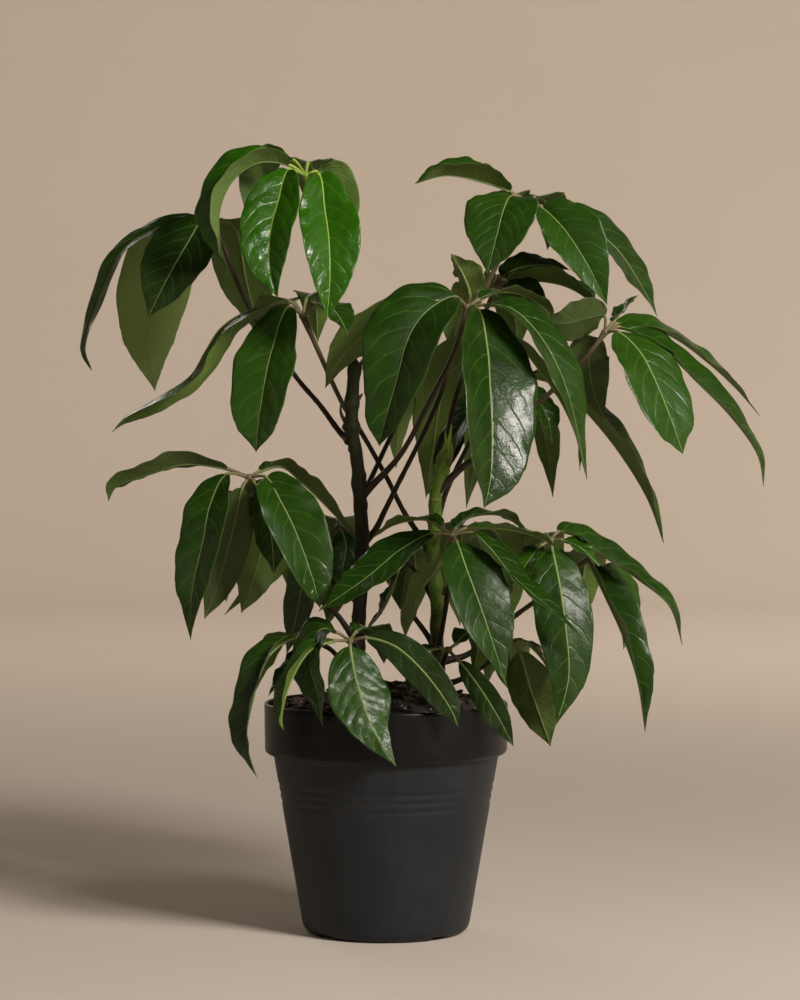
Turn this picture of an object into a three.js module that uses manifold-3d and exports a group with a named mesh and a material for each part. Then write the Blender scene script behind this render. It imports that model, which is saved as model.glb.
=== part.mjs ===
// A potted umbrella plant: a nursery pot, its soil, two woody stems and a palmate leaf on every stalk.
// Millimetres, +Z up, the front towards -Y. The origin is the middle of the pot's underside.
import * as THREE from 'three';
import { mergeVertices } from 'three/addons/utils/BufferGeometryUtils.js';
import Module from 'manifold-3d';

const wasm = await Module();
wasm.setup();

// ---------------------------------------------------------------- driving dimensions

const GAP = 0.3; // clearance between neighbouring pieces

const POT = {
  height: 230,
  collarRadius: 122,
  collarHeight: 51,
  shoulderRadius: 113, // wall just under the collar
  footRadius: 84.5, // wall just above the rounded foot
  footHeight: 12,
  flatRadius: 72, // flat of the underside
  wall: 2.6,
  collarWall: 3.2,
  floor: 3,
  facets: 28,
};
const FOOT_ROUND = [[78.5, 1.6], [82.8, 5.4]]; // radius and height where the underside turns into the wall
// The collar's faces, as steps in from its radius and up from the shoulder.
const COLLAR_OUTSIDE = [[3, 0.6], [0.8, 4], [0, 47], [1.4, 51]];
const COLLAR_INSIDE = [[2.8, 51], [3.2, 5]];
const RIB_HEIGHTS = [131.5, 140, 148]; // shallow rings pressed into the wall
const RIB_DEPTH = 0.9;
const RIB_HALF_WIDTH = 1.6;
const DRAIN = { count: 4, width: 18, height: 3.6, length: 20, outwards: 13, firstTurn: 41 };

const SOIL = {
  edgeDrop: 10,
  mound: 240,
  moundFlatness: 2.4, // powers that shape the mound from its middle to the rim
  moundSoftness: 0.8,
  hump: 8,
  humpAcross: 8,
  humpAway: 52,
  humpSpread: 44,
  edgeCalm: 6, // the hump and the clods die away towards the rim with this power
};
const CLODS = { height: 1.3, across: 0.31, away: 0.27 }; // waves in the soil, in radians a millimetre
const RIDGES = { height: 0.9, across: 0.13, away: 0.19 };
const BARK = {
  count: 12,
  length: 19,
  width: 10,
  thickness: 5,
  innerRadius: 22,
  outerRadius: 102,
  smallest: 0.7, // sizes run from this share of the full size
  sizeRange: 0.6,
  tilt: 0.5,
  rise: 0.6,
};

const STEM_SIDES = 8;
const HOLE_DEPTH = 58; // how far a stem stands in the soil
const FOOT_DROP = 18; // a stem's curve starts this far under its first named place
const SCAR_SPREAD = 0.022; // share of the stem over which it swells at a leaf scar
const TIP = { end: 0.1, steepness: 7 }; // thickness at the very tip and how fast it grows from there

const PETIOLE = { sides: 5, radius: 2.7, flare: 1.7, flarePower: 6 };
const PETIOLULE = { radius: 1.6, edge: 1.8, share: 0.94 };
const HUB_RADIUS = 5.4;

const BLADE = {
  stations: [0.13, 0.31, 0.52, 0.73, 0.89, 1],
  shortStations: [0.2, 0.5, 0.8, 1],
  shortLength: 128,
  edgeThickness: 0.8,
  ribThickness: 1.9,
  ripple: 1.7, // how far the edges wave
  waves: 2.3,
  fullWidthHalf: 12, // a blade narrower than this waves less
  widestAt: 0.42,
  baseRoundness: 0.55, // powers that shape the outline
  tipFullness: 2.2,
  tipSharpness: 1.3,
  endHalfWidth: 0.5,
};

// The foliage is laid out as seen from the front by an eye at this point.
const EYE = new THREE.Vector3(14, -3050, 520);

// ---------------------------------------------------------------- colours

const BLACK_PLASTIC = { color: 0x2b2c2e, roughness: 0.55, metalness: 0 };
const POTTING_SOIL = { color: 0x2a211b, roughness: 0.95, metalness: 0 };
const BARK_BROWN = { color: 0x3b3428, roughness: 0.8, metalness: 0 };
const BARK_GREEN = { color: 0x47502c, roughness: 0.7, metalness: 0 };
const YOUNG_LEAF = { color: 0x5fa82e, roughness: 0.25, metalness: 0 };
const GROWN_LEAF = { color: 0x2f5325, roughness: 0.35, metalness: 0 };
const SHADED_LEAF = { color: 0x3d5427, roughness: 0.45, metalness: 0 };

// ---------------------------------------------------------------- layout of the stems and leaves

// A place given as [across, up, away] in the front elevation.
const STEMS = {
  left: {
    route: [
      [-26, 237, 0], [-28, 292, 0], [-26, 332, 0], [-24, 392, 0],
      [-26, 432, 0], [-29, 472, 0], [-34, 502, 0], [-34, 532, 0], [-31, 569, 0],
    ],
    radius: [7.4, 6.2],
    knots: [[0.6, 1.4], [0.79, 2.2], [0.88, 1.8], [0.98, 1.2]],
    colour: BARK_BROWN,
    tip: null,
  },
  right: {
    route: [
      [54, 242, 0], [51, 292, 0], [51, 332, 0], [47, 372, 0], [49, 412, 0], [50, 442, 0], [57, 466, 0],
    ],
    radius: [7, 6],
    knots: [[0.42, 1.2], [0.62, 1.4], [0.86, 2]],
    colour: BARK_GREEN,
    tip: [62, 493, 0],
  },
};

// A leaflet: its width, the roll of its blade about the midrib and how far its halves rise from the
// midrib, both in degrees, then its midrib from base to tip.
function leaflet(width, roll, fold, ...rib) {
  return { width, roll, fold, rib };
}

// Each leaf: its hub, the stem that carries it, the route of its stalk from that stem, and its leaflets.
// The depths of a leaflet's points are counted from the hub.
const LEAVES = {
  leaf_crown_young: {
    stem: 'left',
    hub: [-80, 756, -20],
    petiole: [[-31, 566, 0], [-41, 597, 10], [-47, 620, 14], [-61, 692, 2]],
    colour: YOUNG_LEAF,
    leaflets: [
      leaflet(62, 14, 24, [-97, 761, -12], [-107, 732, -30], [-115, 700, -48], [-116, 665, -58],
        [-108, 634, -62]),
      leaflet(64, -12, 22, [-67, 757, -12], [-61, 722, -32], [-57, 692, -48], [-56, 652, -58],
        [-59, 612, -62]),
      leaflet(58, 10, 40, [-96, 766, -2], [-127, 769, -12], [-153, 751, -20], [-166, 721, -24],
        [-165, 690, -22], [-159, 664, -18]),
      leaflet(42, -20, 10, [-92, 771, 10], [-108, 775, 20], [-124, 764, 30], [-133, 736, 34],
        [-136, 704, 34]),
      leaflet(48, 40, 4, [-70, 760, 6], [-58, 756, 18], [-50, 736, 26], [-46, 706, 28], [-42, 668, 26]),
      leaflet(48, 0, 13, [-78, 768, 14], [-74, 766, 48], [-68, 742, 86], [-64, 700, 104]),
    ],
  },
  leaf_crown_left: {
    stem: 'left',
    hub: [-173, 710, 40],
    petiole: [[-37, 492, 0], [-46, 500, 12], [-66, 527, 22], [-89, 554, 28], [-139, 629, 36],
      [-162, 685, 40]],
    colour: GROWN_LEAF,
    leaflets: [
      leaflet(74, 26, 10, [-181, 714, -12], [-199, 687, -30], [-219, 652, -42], [-238, 614, -45]),
      leaflet(78, -28, 8, [-188, 708, 16], [-214, 688, 44], [-231, 642, 62], [-236, 587, 68],
        [-231, 541, 66]),
      leaflet(30, 36, 12, [-190, 714, 2], [-222, 706, 6], [-260, 684, 8], [-285, 637, 10],
        [-301, 584, 8], [-294, 561, 4]),
      leaflet(80, 4, 4, [-164, 712, 14], [-149, 702, 44], [-139, 650, 66], [-124, 592, 76]),
    ],
  },
  leaf_upper_left: {
    stem: 'right',
    hub: [-83, 616, 10],
    petiole: [[48, 372, 0], [31, 400, 14], [17, 422, 22], [1, 454, 26], [-29, 507, 26], [-41, 524, 22]],
    colour: GROWN_LEAF,
    leaflets: [
      leaflet(70, 10, 14, [-97, 625, -12], [-114, 582, -40], [-121, 552, -52], [-128, 505, -62],
        [-130, 480, -62]),
      leaflet(50, -20, -28, [-96, 630, -4], [-140, 620, -15], [-165, 604, -20], [-181, 580, -25],
        [-195, 557, -28], [-224, 537, -30], [-262, 514, -25], [-274, 500, -22]),
      leaflet(44, 0, 13, [-92, 630, 12], [-106, 630, 38], [-118, 612, 62], [-122, 570, 72]),
      leaflet(40, 0, 13, [-80, 632, 14], [-74, 638, 44], [-70, 626, 80], [-68, 590, 100]),
      leaflet(38, 0, 13, [-68, 626, -12], [-56, 625, -40], [-46, 614, -64], [-38, 598, -78]),
    ],
  },
  leaf_crown_right: {
    stem: 'left',
    hub: [139, 729, 30],
    petiole: [[-24, 387, 0], [-11, 402, 4], [-1, 422, 8], [14, 452, 12], [34, 492, 20], [54, 537, 28],
      [69, 582, 32], [94, 632, 34]],
    colour: GROWN_LEAF,
    leaflets: [
      leaflet(50, 12, 44, [124, 740, -5], [95, 750, -15], [60, 756, -24], [29, 748, -30]),
      leaflet(76, 16, 8, [126, 736, -12], [118, 724, -30], [110, 694, -46], [101, 658, -50]),
      leaflet(66, -45, 28, [155, 724, -10], [174, 707, -24], [189, 687, -34], [204, 662, -40],
        [221, 627, -42]),
      leaflet(56, -45, 8, [160, 724, 8], [197, 709, 18], [231, 682, 28], [254, 648, 32], [271, 616, 30]),
      leaflet(44, 0, 13, [148, 734, 12], [158, 732, 44], [165, 712, 70], [161, 682, 80]),
      leaflet(44, 0, 13, [132, 736, 12], [124, 734, 44], [116, 712, 70], [112, 684, 80]),
    ],
  },
  leaf_centre: {
    stem: 'left',
    hub: [81, 625, -60],
    petiole: [[-24, 437, 0], [14, 477, -22], [44, 532, -38], [69, 582, -52]],
    colour: GROWN_LEAF,
    leaflets: [
      leaflet(86, 30, 18, [69, 635, -6], [49, 627, -20], [32, 611, -32], [20, 588, -40], [12, 557, -46],
        [-2, 507, -50], [-7, 486, -50]),
      leaflet(54, -38, 8, [70, 634, 6], [38, 630, 18], [9, 614, 26], [-25, 595, 30], [-48, 570, 32],
        [-61, 544, 32]),
      leaflet(92, 20, 20, [92, 623, -12], [101, 585, -40], [104, 545, -62], [106, 495, -80],
        [104, 450, -92], [98, 424, -97]),
      leaflet(62, -12, 12, [98, 627, -8], [124, 624, -18], [151, 600, -28], [174, 560, -38],
        [189, 512, -42], [201, 453, -42]),
      leaflet(36, 0, 13, [92, 618, 6], [130, 592, 16], [154, 562, 20], [175, 531, 22], [192, 490, 22],
        [194, 462, 20]),
      leaflet(42, 20, 20, [84, 638, -6], [78, 656, -14], [65, 678, -20]),
      leaflet(32, 0, 13, [92, 632, 12], [111, 640, 30], [134, 638, 46], [158, 624, 58], [169, 606, 60]),
    ],
  },
  leaf_centre_back: {
    stem: 'right',
    hub: [111, 649, 60],
    petiole: [[49, 422, 0], [56, 462, 2], [66, 520, 8], [88, 590, 34]],
    colour: SHADED_LEAF,
    leaflets: [
      leaflet(40, -30, 10, [116, 655, 6], [134, 664, 16], [160, 667, 24], [184, 662, 30]),
      leaflet(44, 5, 34, [122, 650, -8], [150, 652, -20], [180, 646, -28], [200, 634, -32], [211, 622, -33]),
      leaflet(44, -40, 10, [116, 645, -10], [130, 640, -26], [145, 626, -36], [158, 606, -40]),
      leaflet(44, 0, 13, [104, 650, 8], [88, 644, 30], [72, 614, 48], [64, 578, 54]),
      leaflet(50, 0, 13, [112, 656, 14], [120, 650, 52], [128, 620, 82], [132, 580, 94]),
    ],
  },
  leaf_right: {
    stem: 'right',
    hub: [219, 600, 0],
    petiole: [[50, 440, 0], [79, 467, 2], [94, 477, 3], [124, 507, 4], [157, 533, 4], [189, 565, 2],
      [204, 580, 0]],
    colour: GROWN_LEAF,
    leaflets: [
      leaflet(76, -12, 3, [232, 600, -12], [254, 580, -32], [269, 552, -44], [289, 502, -54],
        [297, 478, -54]),
      leaflet(46, -62, 6, [218, 616, -4], [202, 614, -14], [178, 608, -24], [155, 612, -28]),
      leaflet(24, 0, 13, [226, 610, 4], [238, 624, 10], [252, 637, 14]),
      leaflet(50, -24, 20, [232, 605, 2], [264, 592, 4], [288, 574, 6], [311, 551, 8], [345, 516, 10],
        [372, 477, 12], [378, 446, 12]),
      leaflet(46, -22, 14, [230, 608, 16], [260, 607, 30], [290, 594, 40], [322, 570, 46],
        [350, 544, 48], [374, 516, 48]),
      leaflet(42, -24, -4, [214, 594, 10], [203, 580, 22], [206, 548, 28], [218, 512, 26]),
    ],
  },
  leaf_right_back: {
    stem: 'right',
    hub: [124, 554, 70],
    petiole: [[48, 398, 0], [60, 440, 26], [84, 490, 46], [104, 526, 62]],
    colour: SHADED_LEAF,
    leaflets: [
      leaflet(64, -4, 28, [142, 556, -2], [176, 545, -8], [205, 516, -12], [235, 478, -15],
        [262, 433, -15], [278, 389, -12]),
      leaflet(36, 0, 10, [134, 549, -12], [150, 535, -30], [162, 512, -40], [166, 488, -42]),
      leaflet(38, 0, 10, [132, 552, 12], [148, 530, 36], [160, 490, 50], [167, 435, 52]),
      leaflet(40, 0, 10, [120, 550, 12], [104, 532, 36], [92, 485, 50], [80, 424, 52]),
      leaflet(62, -80, 0, [112, 560, 6], [84, 572, 26], [62, 556, 44], [52, 517, 54], [46, 475, 56],
        [40, 434, 54]),
      leaflet(42, 10, 10, [114, 550, -8], [95, 535, -24], [78, 512, -34], [60, 480, -38], [42, 438, -38]),
    ],
  },
  leaf_mid_left: {
    stem: 'left',
    hub: [-137, 455, -20],
    petiole: [[-27, 286, 0], [-38, 302, -6], [-49, 317, -8], [-61, 327, -9], [-86, 362, -12],
      [-116, 417, -16], [-124, 432, -18]],
    colour: GROWN_LEAF,
    leaflets: [
      leaflet(42, -24, 18, [-158, 463, -2], [-201, 468, -8], [-236, 458, -12], [-270, 445, -14],
        [-278, 431, -12]),
      leaflet(56, 10, 10, [-159, 458, -12], [-176, 427, -32], [-183, 392, -45], [-194, 342, -55],
        [-196, 292, -56]),
      leaflet(64, -30, 22, [-120, 455, -12], [-106, 432, -28], [-91, 402, -40], [-73, 352, -50],
        [-66, 324, -50]),
      leaflet(40, -72, 0, [-144, 444, -6], [-150, 416, 4], [-160, 376, 10], [-171, 340, 10], [-182, 313, 8]),
      leaflet(48, 0, 8, [-135, 452, 12], [-128, 425, 35], [-125, 385, 45], [-135, 345, 48], [-145, 319, 46]),
      leaflet(36, 0, 26, [-126, 461, 8], [-104, 466, 24], [-84, 450, 36], [-52, 418, 42], [-20, 381, 48]),
      leaflet(44, -72, -4, [-132, 450, -6], [-120, 425, -20], [-114, 390, -28], [-112, 357, -30]),
      leaflet(20, 0, 20, [-130, 450, 16], [-112, 420, 40], [-104, 388, 52], [-112, 362, 58],
        [-140, 340, 60], [-162, 317, 60]),
    ],
  },
  leaf_low_centre: {
    stem: 'right',
    hub: [66, 397, -70],
    petiole: [[51, 278, 0], [54, 292, -14], [61, 332, -44], [64, 357, -58]],
    colour: GROWN_LEAF,
    leaflets: [
      leaflet(50, 30, 10, [47, 399, -6], [14, 382, -18], [-16, 357, -26], [-41, 339, -30], [-68, 321, -30]),
      leaflet(66, -8, 16, [71, 390, -12], [81, 362, -35], [94, 327, -50], [106, 292, -58], [120, 248, -60]),
      leaflet(50, -8, 14, [86, 399, -6], [104, 384, -14], [124, 359, -22], [154, 332, -28], [197, 294, -28]),
      leaflet(34, 0, 13, [56, 404, 8], [39, 413, 24], [9, 408, 38], [-14, 394, 46]),
      leaflet(34, 0, 13, [70, 404, 8], [85, 416, 24], [119, 416, 42], [143, 398, 52]),
      leaflet(34, 0, 13, [80, 404, 4], [105, 405, 12], [129, 402, 18], [155, 394, 22], [174, 382, 24]),
      leaflet(32, 0, 20, [60, 385, 8], [48, 362, 22], [36, 345, 30], [24, 315, 34], [19, 292, 34]),
    ],
  },
  leaf_low_right: {
    stem: 'right',
    hub: [165, 392, -20],
    petiole: [[51, 337, 0], [66, 344, -2], [114, 365, -10], [136, 376, -14], [146, 383, -16]],
    colour: GROWN_LEAF,
    leaflets: [
      leaflet(58, -5, -9, [166, 385, -14], [173, 352, -38], [179, 312, -52], [183, 255, -60],
        [171, 207, -60]),
      leaflet(48, -26, 20, [172, 400, 4], [190, 397, 10], [219, 376, 18], [254, 352, 24], [284, 326, 26],
        [297, 287, 24]),
      leaflet(30, -10, 13, [176, 392, -6], [195, 384, -16], [214, 366, -22]),
      leaflet(30, 10, 13, [155, 386, -10], [142, 370, -22], [128, 346, -28]),
      leaflet(44, 0, 13, [160, 398, 14], [158, 392, 44], [158, 362, 70], [162, 325, 78]),
    ],
  },
  leaf_outer_right: {
    stem: 'right',
    hub: [202, 372, 20],
    petiole: [[52, 270, 0], [79, 276, 10], [99, 290, 14], [132, 318, 18], [154, 334, 19], [184, 360, 20]],
    colour: GROWN_LEAF,
    leaflets: [
      leaflet(48, 2, 50, [206, 366, -12], [222, 332, -30], [237, 298, -42], [252, 252, -50], [260, 199, -50]),
      leaflet(42, -72, 0, [216, 364, 6], [234, 346, 16], [244, 316, 22], [238, 282, 22]),
      leaflet(44, 0, 13, [202, 380, 14], [200, 374, 44], [196, 344, 68], [192, 302, 76]),
    ],
  },
  leaf_base_front: {
    stem: 'left',
    hub: [-36, 291, -95],
    petiole: [[-27, 266, 0], [-29, 280, -26], [-33, 291, -62]],
    colour: GROWN_LEAF,
    leaflets: [
      leaflet(60, -10, -8, [-36, 286, -12], [-31, 257, -30], [-24, 232, -40], [-14, 204, -46],
        [10, 165, -48]),
      leaflet(24, 4, 40, [-52, 291, -8], [-76, 282, -16], [-96, 250, -22], [-105, 214, -26],
        [-103, 201, -26]),
      leaflet(34, -76, -4, [-20, 294, -8], [8, 286, -22], [30, 268, -30], [52, 242, -34], [66, 220, -35],
        [72, 205, -35]),
      leaflet(50, 15, 12, [-50, 300, 0], [-66, 302, -4], [-76, 270, -12], [-68, 235, -18], [-64, 206, -20]),
      leaflet(38, 0, 13, [-30, 300, 14], [-18, 304, 34], [-6, 292, 50], [-2, 268, 58]),
    ],
  },
  leaf_base_left: {
    stem: 'left',
    hub: [-74, 292, -40],
    petiole: [[-27, 248, 0], [-40, 262, -8], [-54, 281, -24]],
    colour: SHADED_LEAF,
    leaflets: [
      leaflet(44, -2, 32, [-92, 294, -12], [-118, 276, -30], [-134, 232, -44], [-140, 190, -48],
        [-130, 154, -46]),
      leaflet(26, 0, 13, [-82, 286, -10], [-92, 270, -20], [-105, 252, -28], [-118, 236, -32]),
      leaflet(36, 0, 13, [-84, 298, 12], [-106, 292, 40], [-124, 266, 60], [-131, 240, 66]),
    ],
  },
  leaf_inner_back: {
    stem: 'right',
    hub: [-48, 404, 80],
    petiole: [[51, 272, 0], [44, 292, 20], [19, 327, 44], [2, 352, 58], [-21, 387, 72]],
    colour: SHADED_LEAF,
    leaflets: [
      leaflet(36, 0, 10, [-44, 400, -12], [-40, 386, -20], [-43, 366, -26], [-46, 346, -28]),
      leaflet(44, 68, 0, [-58, 402, -4], [-74, 380, 6], [-84, 345, 12], [-91, 310, 14], [-100, 277, 14]),
      leaflet(34, 0, 13, [-52, 398, 10], [-50, 368, 26], [-52, 335, 34], [-59, 305, 36]),
      leaflet(46, 0, 13, [-48, 412, 14], [-50, 410, 52], [-54, 386, 86], [-58, 346, 100]),
    ],
  },
  leaf_inner_centre: {
    stem: 'right',
    hub: [20, 372, 24],
    petiole: [[51, 325, 0], [42, 342, 16], [30, 360, 28]],
    colour: SHADED_LEAF,
    leaflets: [
      leaflet(32, 0, 13, [20, 366, 8], [18, 348, 14], [14, 322, 14]),
      leaflet(34, 0, 13, [12, 362, -6], [4, 338, -8], [-6, 318, -4], [-20, 301, 2]),
      leaflet(38, 0, 13, [24, 380, 12], [28, 378, 44], [30, 352, 70], [30, 318, 78]),
    ],
  },
  leaf_rim_right: {
    stem: 'right',
    hub: [62, 282, -62],
    petiole: [[54, 252, 0], [57, 268, -20], [61, 280, -44]],
    colour: SHADED_LEAF,
    leaflets: [
      leaflet(26, -70, 6, [74, 270, -12], [98, 238, -30], [115, 210, -38], [128, 185, -40]),
      leaflet(36, 0, 13, [70, 288, 6], [84, 300, 16], [92, 284, 26], [86, 254, 32]),
      leaflet(34, 0, 13, [52, 284, -8], [38, 280, -18], [28, 262, -26], [24, 238, -28]),
    ],
  },
  leaf_base_right: {
    stem: 'right',
    hub: [126, 290, -30],
    petiole: [[54, 246, 0], [74, 252, -12], [98, 266, -22], [116, 280, -28]],
    colour: SHADED_LEAF,
    leaflets: [
      leaflet(50, 40, 8, [134, 280, 6], [144, 246, 14], [154, 217, 16], [165, 185, 14]),
      leaflet(28, 0, 13, [136, 292, 0], [156, 274, -4], [172, 240, -8]),
      leaflet(24, 0, 13, [118, 286, 6], [108, 272, 16], [102, 248, 22]),
      leaflet(40, 0, 13, [124, 292, 12], [124, 284, 40], [126, 258, 62], [130, 236, 68]),
    ],
  },
  leaf_back_upper: {
    stem: 'left',
    hub: [54, 570, 180],
    petiole: [[-26, 430, 0], [-14, 456, 40], [10, 506, 104], [36, 550, 156]],
    colour: SHADED_LEAF,
    leaflets: [
      leaflet(56, 0, 13, [42, 576, 14], [26, 566, 46], [14, 524, 70], [10, 464, 78]),
      leaflet(58, 0, 13, [62, 578, 16], [76, 568, 50], [84, 524, 74], [88, 460, 80]),
      leaflet(50, 0, 13, [70, 574, 6], [104, 570, 20], [130, 536, 30], [140, 480, 32]),
      leaflet(48, 0, 13, [40, 574, -4], [22, 574, -10], [8, 548, -16], [0, 500, -18]),
      leaflet(50, 0, 13, [54, 564, -10], [60, 540, -22], [62, 500, -28], [60, 456, -30]),
    ],
  },
  leaf_back_left: {
    stem: 'left',
    hub: [-128, 436, 110],
    petiole: [[-27, 330, 0], [-46, 344, 24], [-92, 372, 56], [-120, 410, 92]],
    colour: SHADED_LEAF,
    leaflets: [
      leaflet(54, 0, 13, [-136, 440, 14], [-150, 428, 48], [-158, 384, 70], [-160, 330, 76]),
      leaflet(54, 0, 13, [-120, 440, 16], [-108, 430, 50], [-98, 386, 74], [-94, 334, 80]),
      leaflet(46, 0, 13, [-142, 438, 2], [-160, 424, 6], [-172, 392, 10], [-176, 348, 10]),
      leaflet(46, 0, 13, [-116, 434, 2], [-102, 416, 8], [-94, 380, 12], [-92, 340, 12]),
    ],
  },
  leaf_back_low: {
    stem: 'right',
    hub: [88, 400, 110],
    petiole: [[51, 300, 0], [58, 326, 34], [70, 366, 76], [82, 390, 102]],
    colour: SHADED_LEAF,
    leaflets: [
      leaflet(52, 0, 13, [84, 406, 14], [76, 398, 48], [72, 358, 72], [74, 306, 78]),
      leaflet(52, 0, 13, [96, 406, 12], [112, 398, 44], [122, 358, 62], [124, 308, 66]),
      leaflet(46, 0, 13, [96, 396, -6], [106, 378, -16], [112, 344, -22], [112, 304, -24]),
    ],
  },
};

// ---------------------------------------------------------------- helpers

const UP = new THREE.Vector3(0, 0, 1);
const TURN = 2 * Math.PI;
const GOLDEN_ANGLE = Math.PI * (3 - Math.sqrt(5));

// A place in the front elevation, carried along the line of sight to its depth.
function seen([across, up, away]) {
  const reach = (away - EYE.y) / -EYE.y;
  return new THREE.Vector3(across, 0, up).sub(EYE).multiplyScalar(reach).add(EYE);
}

// A random number from 0 to 1 for each whole number, the same every time.
function chance(seed) {
  const wave = Math.sin(seed * 127.1 + 311.7) * 43758.5453;
  return wave - Math.floor(wave);
}

function solid(geometry) {
  const bare = geometry.clone();
  bare.deleteAttribute('normal');
  bare.deleteAttribute('uv');
  const merged = mergeVertices(bare, 1e-5);
  return new wasm.Manifold(
    new wasm.Mesh({
      numProp: 3,
      vertProperties: Float32Array.from(merged.attributes.position.array),
      triVerts: Uint32Array.from(merged.index.array),
    }),
  );
}

// The largest body of a solid: loose scraps are dropped and sealed hollows are filled.
function largestBody(shape) {
  const bodies = shape.decompose();
  bodies.sort((a, b) => b.volume() - a.volume());
  return bodies[0];
}

function geometryOf(shape) {
  const { vertProperties, triVerts } = shape.getMesh();
  const geometry = new THREE.BufferGeometry();
  geometry.setAttribute('position', new THREE.BufferAttribute(vertProperties, 3));
  geometry.setIndex(new THREE.BufferAttribute(triVerts, 1));
  geometry.computeVertexNormals();
  return geometry;
}

function nodeOf(name, shape, colour) {
  const mesh = new THREE.Mesh(geometryOf(shape), new THREE.MeshStandardMaterial(colour));
  mesh.name = name;
  return mesh;
}

// A closed cylinder bent along a curve, with its radius a function of the share of the way.
function limb(curve, from, to, radiusAt, sides, steps) {
  const tube = new THREE.CylinderGeometry(1, 1, 1, sides, steps);
  const rings = [];
  let normal = new THREE.Vector3(1, 0, 0);
  for (let ring = 0; ring <= steps; ring += 1) {
    const share = from + ((to - from) * ring) / steps;
    const tangent = curve.getTangent(share);
    normal = normal.clone().addScaledVector(tangent, -normal.dot(tangent)).normalize();
    const binormal = tangent.clone().cross(normal);
    rings.push({ centre: curve.getPoint(share), normal, binormal, radius: radiusAt(ring / steps) });
  }
  const places = tube.attributes.position;
  for (let i = 0; i < places.count; i += 1) {
    const ring = rings[Math.round((0.5 - places.getY(i)) * steps)];
    const place = ring.centre.clone();
    place.addScaledVector(ring.normal, places.getX(i) * ring.radius);
    place.addScaledVector(ring.binormal, places.getZ(i) * ring.radius);
    places.setXYZ(i, place.x, place.y, place.z);
  }
  return solid(tube);
}

// ---------------------------------------------------------------- pot and soil

function wallRadius(height) {
  const share = (height - POT.footHeight) / (POT.height - POT.collarHeight - POT.footHeight);
  return POT.footRadius + (POT.shoulderRadius - POT.footRadius) * share;
}

function potShape() {
  const shoulder = POT.height - POT.collarHeight;
  const outer = [
    [0, 0],
    [POT.flatRadius, 0],
    ...FOOT_ROUND,
    [POT.footRadius, POT.footHeight],
  ];
  for (const height of RIB_HEIGHTS) {
    outer.push([wallRadius(height - RIB_HALF_WIDTH), height - RIB_HALF_WIDTH]);
    outer.push([wallRadius(height) - RIB_DEPTH, height]);
    outer.push([wallRadius(height + RIB_HALF_WIDTH), height + RIB_HALF_WIDTH]);
  }
  outer.push([POT.shoulderRadius, shoulder]);
  for (const [inwards, up] of [...COLLAR_OUTSIDE, ...COLLAR_INSIDE]) {
    outer.push([POT.collarRadius - inwards, shoulder + up]);
  }
  outer.push([POT.shoulderRadius - POT.wall, shoulder - 1]);
  outer.push([POT.footRadius - POT.wall, POT.footHeight]);
  outer.push([POT.flatRadius + 2, POT.floor]);
  outer.push([0, POT.floor]);
  const profile = outer.map(([radius, height]) => new THREE.Vector2(radius, height));
  const turned = new THREE.LatheGeometry(profile, POT.facets).rotateX(Math.PI / 2);
  let shape = solid(turned);
  for (let i = 0; i < DRAIN.count; i += 1) {
    const turn = THREE.MathUtils.degToRad(DRAIN.firstTurn + (360 * i) / DRAIN.count - 90);
    const notch = new THREE.BoxGeometry(DRAIN.length, DRAIN.width, 2 * DRAIN.height);
    notch.translate(POT.flatRadius + DRAIN.outwards, 0, 0).rotateZ(turn);
    shape = shape.subtract(solid(notch));
  }
  return shape;
}

// Height of the soil: a mound with a hump behind the stems and small clods all over.
function soilHeight(x, y) {
  const share = Math.min(1, Math.hypot(x, y) / (POT.collarRadius - POT.collarWall));
  const edge = POT.height - SOIL.edgeDrop;
  const mound = edge + (SOIL.mound - edge) * Math.pow(1 - share ** SOIL.moundFlatness, SOIL.moundSoftness);
  const away = Math.hypot(x - SOIL.humpAcross, y - SOIL.humpAway) / SOIL.humpSpread;
  const hump = SOIL.hump * Math.exp(-(away ** 2));
  const clods = CLODS.height * Math.sin(x * CLODS.across + 1) * Math.sin(y * CLODS.away + 2);
  const ridges = RIDGES.height * Math.sin(x * RIDGES.across - y * RIDGES.away);
  return mound + (hump + clods + ridges) * (1 - share ** SOIL.edgeCalm);
}

function soilShape() {
  const shoulder = POT.height - POT.collarHeight;
  const inside = POT.collarRadius - POT.collarWall - GAP;
  const rings = [0.9, 0.7, 0.48, 0.24];
  const profile = [
    [0, POT.floor + GAP],
    [POT.flatRadius + 1, POT.floor + GAP],
    [POT.footRadius - POT.wall - GAP, POT.footHeight + 1],
    [POT.shoulderRadius - POT.wall - GAP, shoulder],
    [inside, shoulder + 6.5],
    [inside, POT.height - SOIL.edgeDrop],
    ...rings.map((share) => [inside * share, POT.height]),
    [0, POT.height],
  ];
  const turned = new THREE.LatheGeometry(
    profile.map(([radius, height]) => new THREE.Vector2(radius, height)),
    POT.facets,
  ).rotateX(Math.PI / 2);
  const places = turned.attributes.position;
  for (let i = 0; i < places.count; i += 1) {
    if (places.getZ(i) > POT.height - 1) {
      places.setZ(i, soilHeight(places.getX(i), places.getY(i)));
    }
  }
  let shape = solid(turned);
  for (let i = 0; i < BARK.count; i += 1) {
    const spread = Math.sqrt(chance(i + 1));
    const radius = BARK.innerRadius + (BARK.outerRadius - BARK.innerRadius) * spread;
    const turn = i * GOLDEN_ANGLE;
    const grown = BARK.smallest + BARK.sizeRange * chance(i + 40);
    const chip = new THREE.BoxGeometry(BARK.length * grown, BARK.width * grown, BARK.thickness);
    chip.rotateX(BARK.tilt * (chance(i + 80) - 0.5)).rotateY(BARK.tilt * (chance(i + 120) - 0.5));
    chip.rotateZ(TURN * chance(i + 160));
    const x = radius * Math.cos(turn);
    const y = radius * Math.sin(turn);
    chip.translate(x, y, soilHeight(x, y) + BARK.rise);
    shape = shape.add(solid(chip));
  }
  return shape;
}

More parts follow.
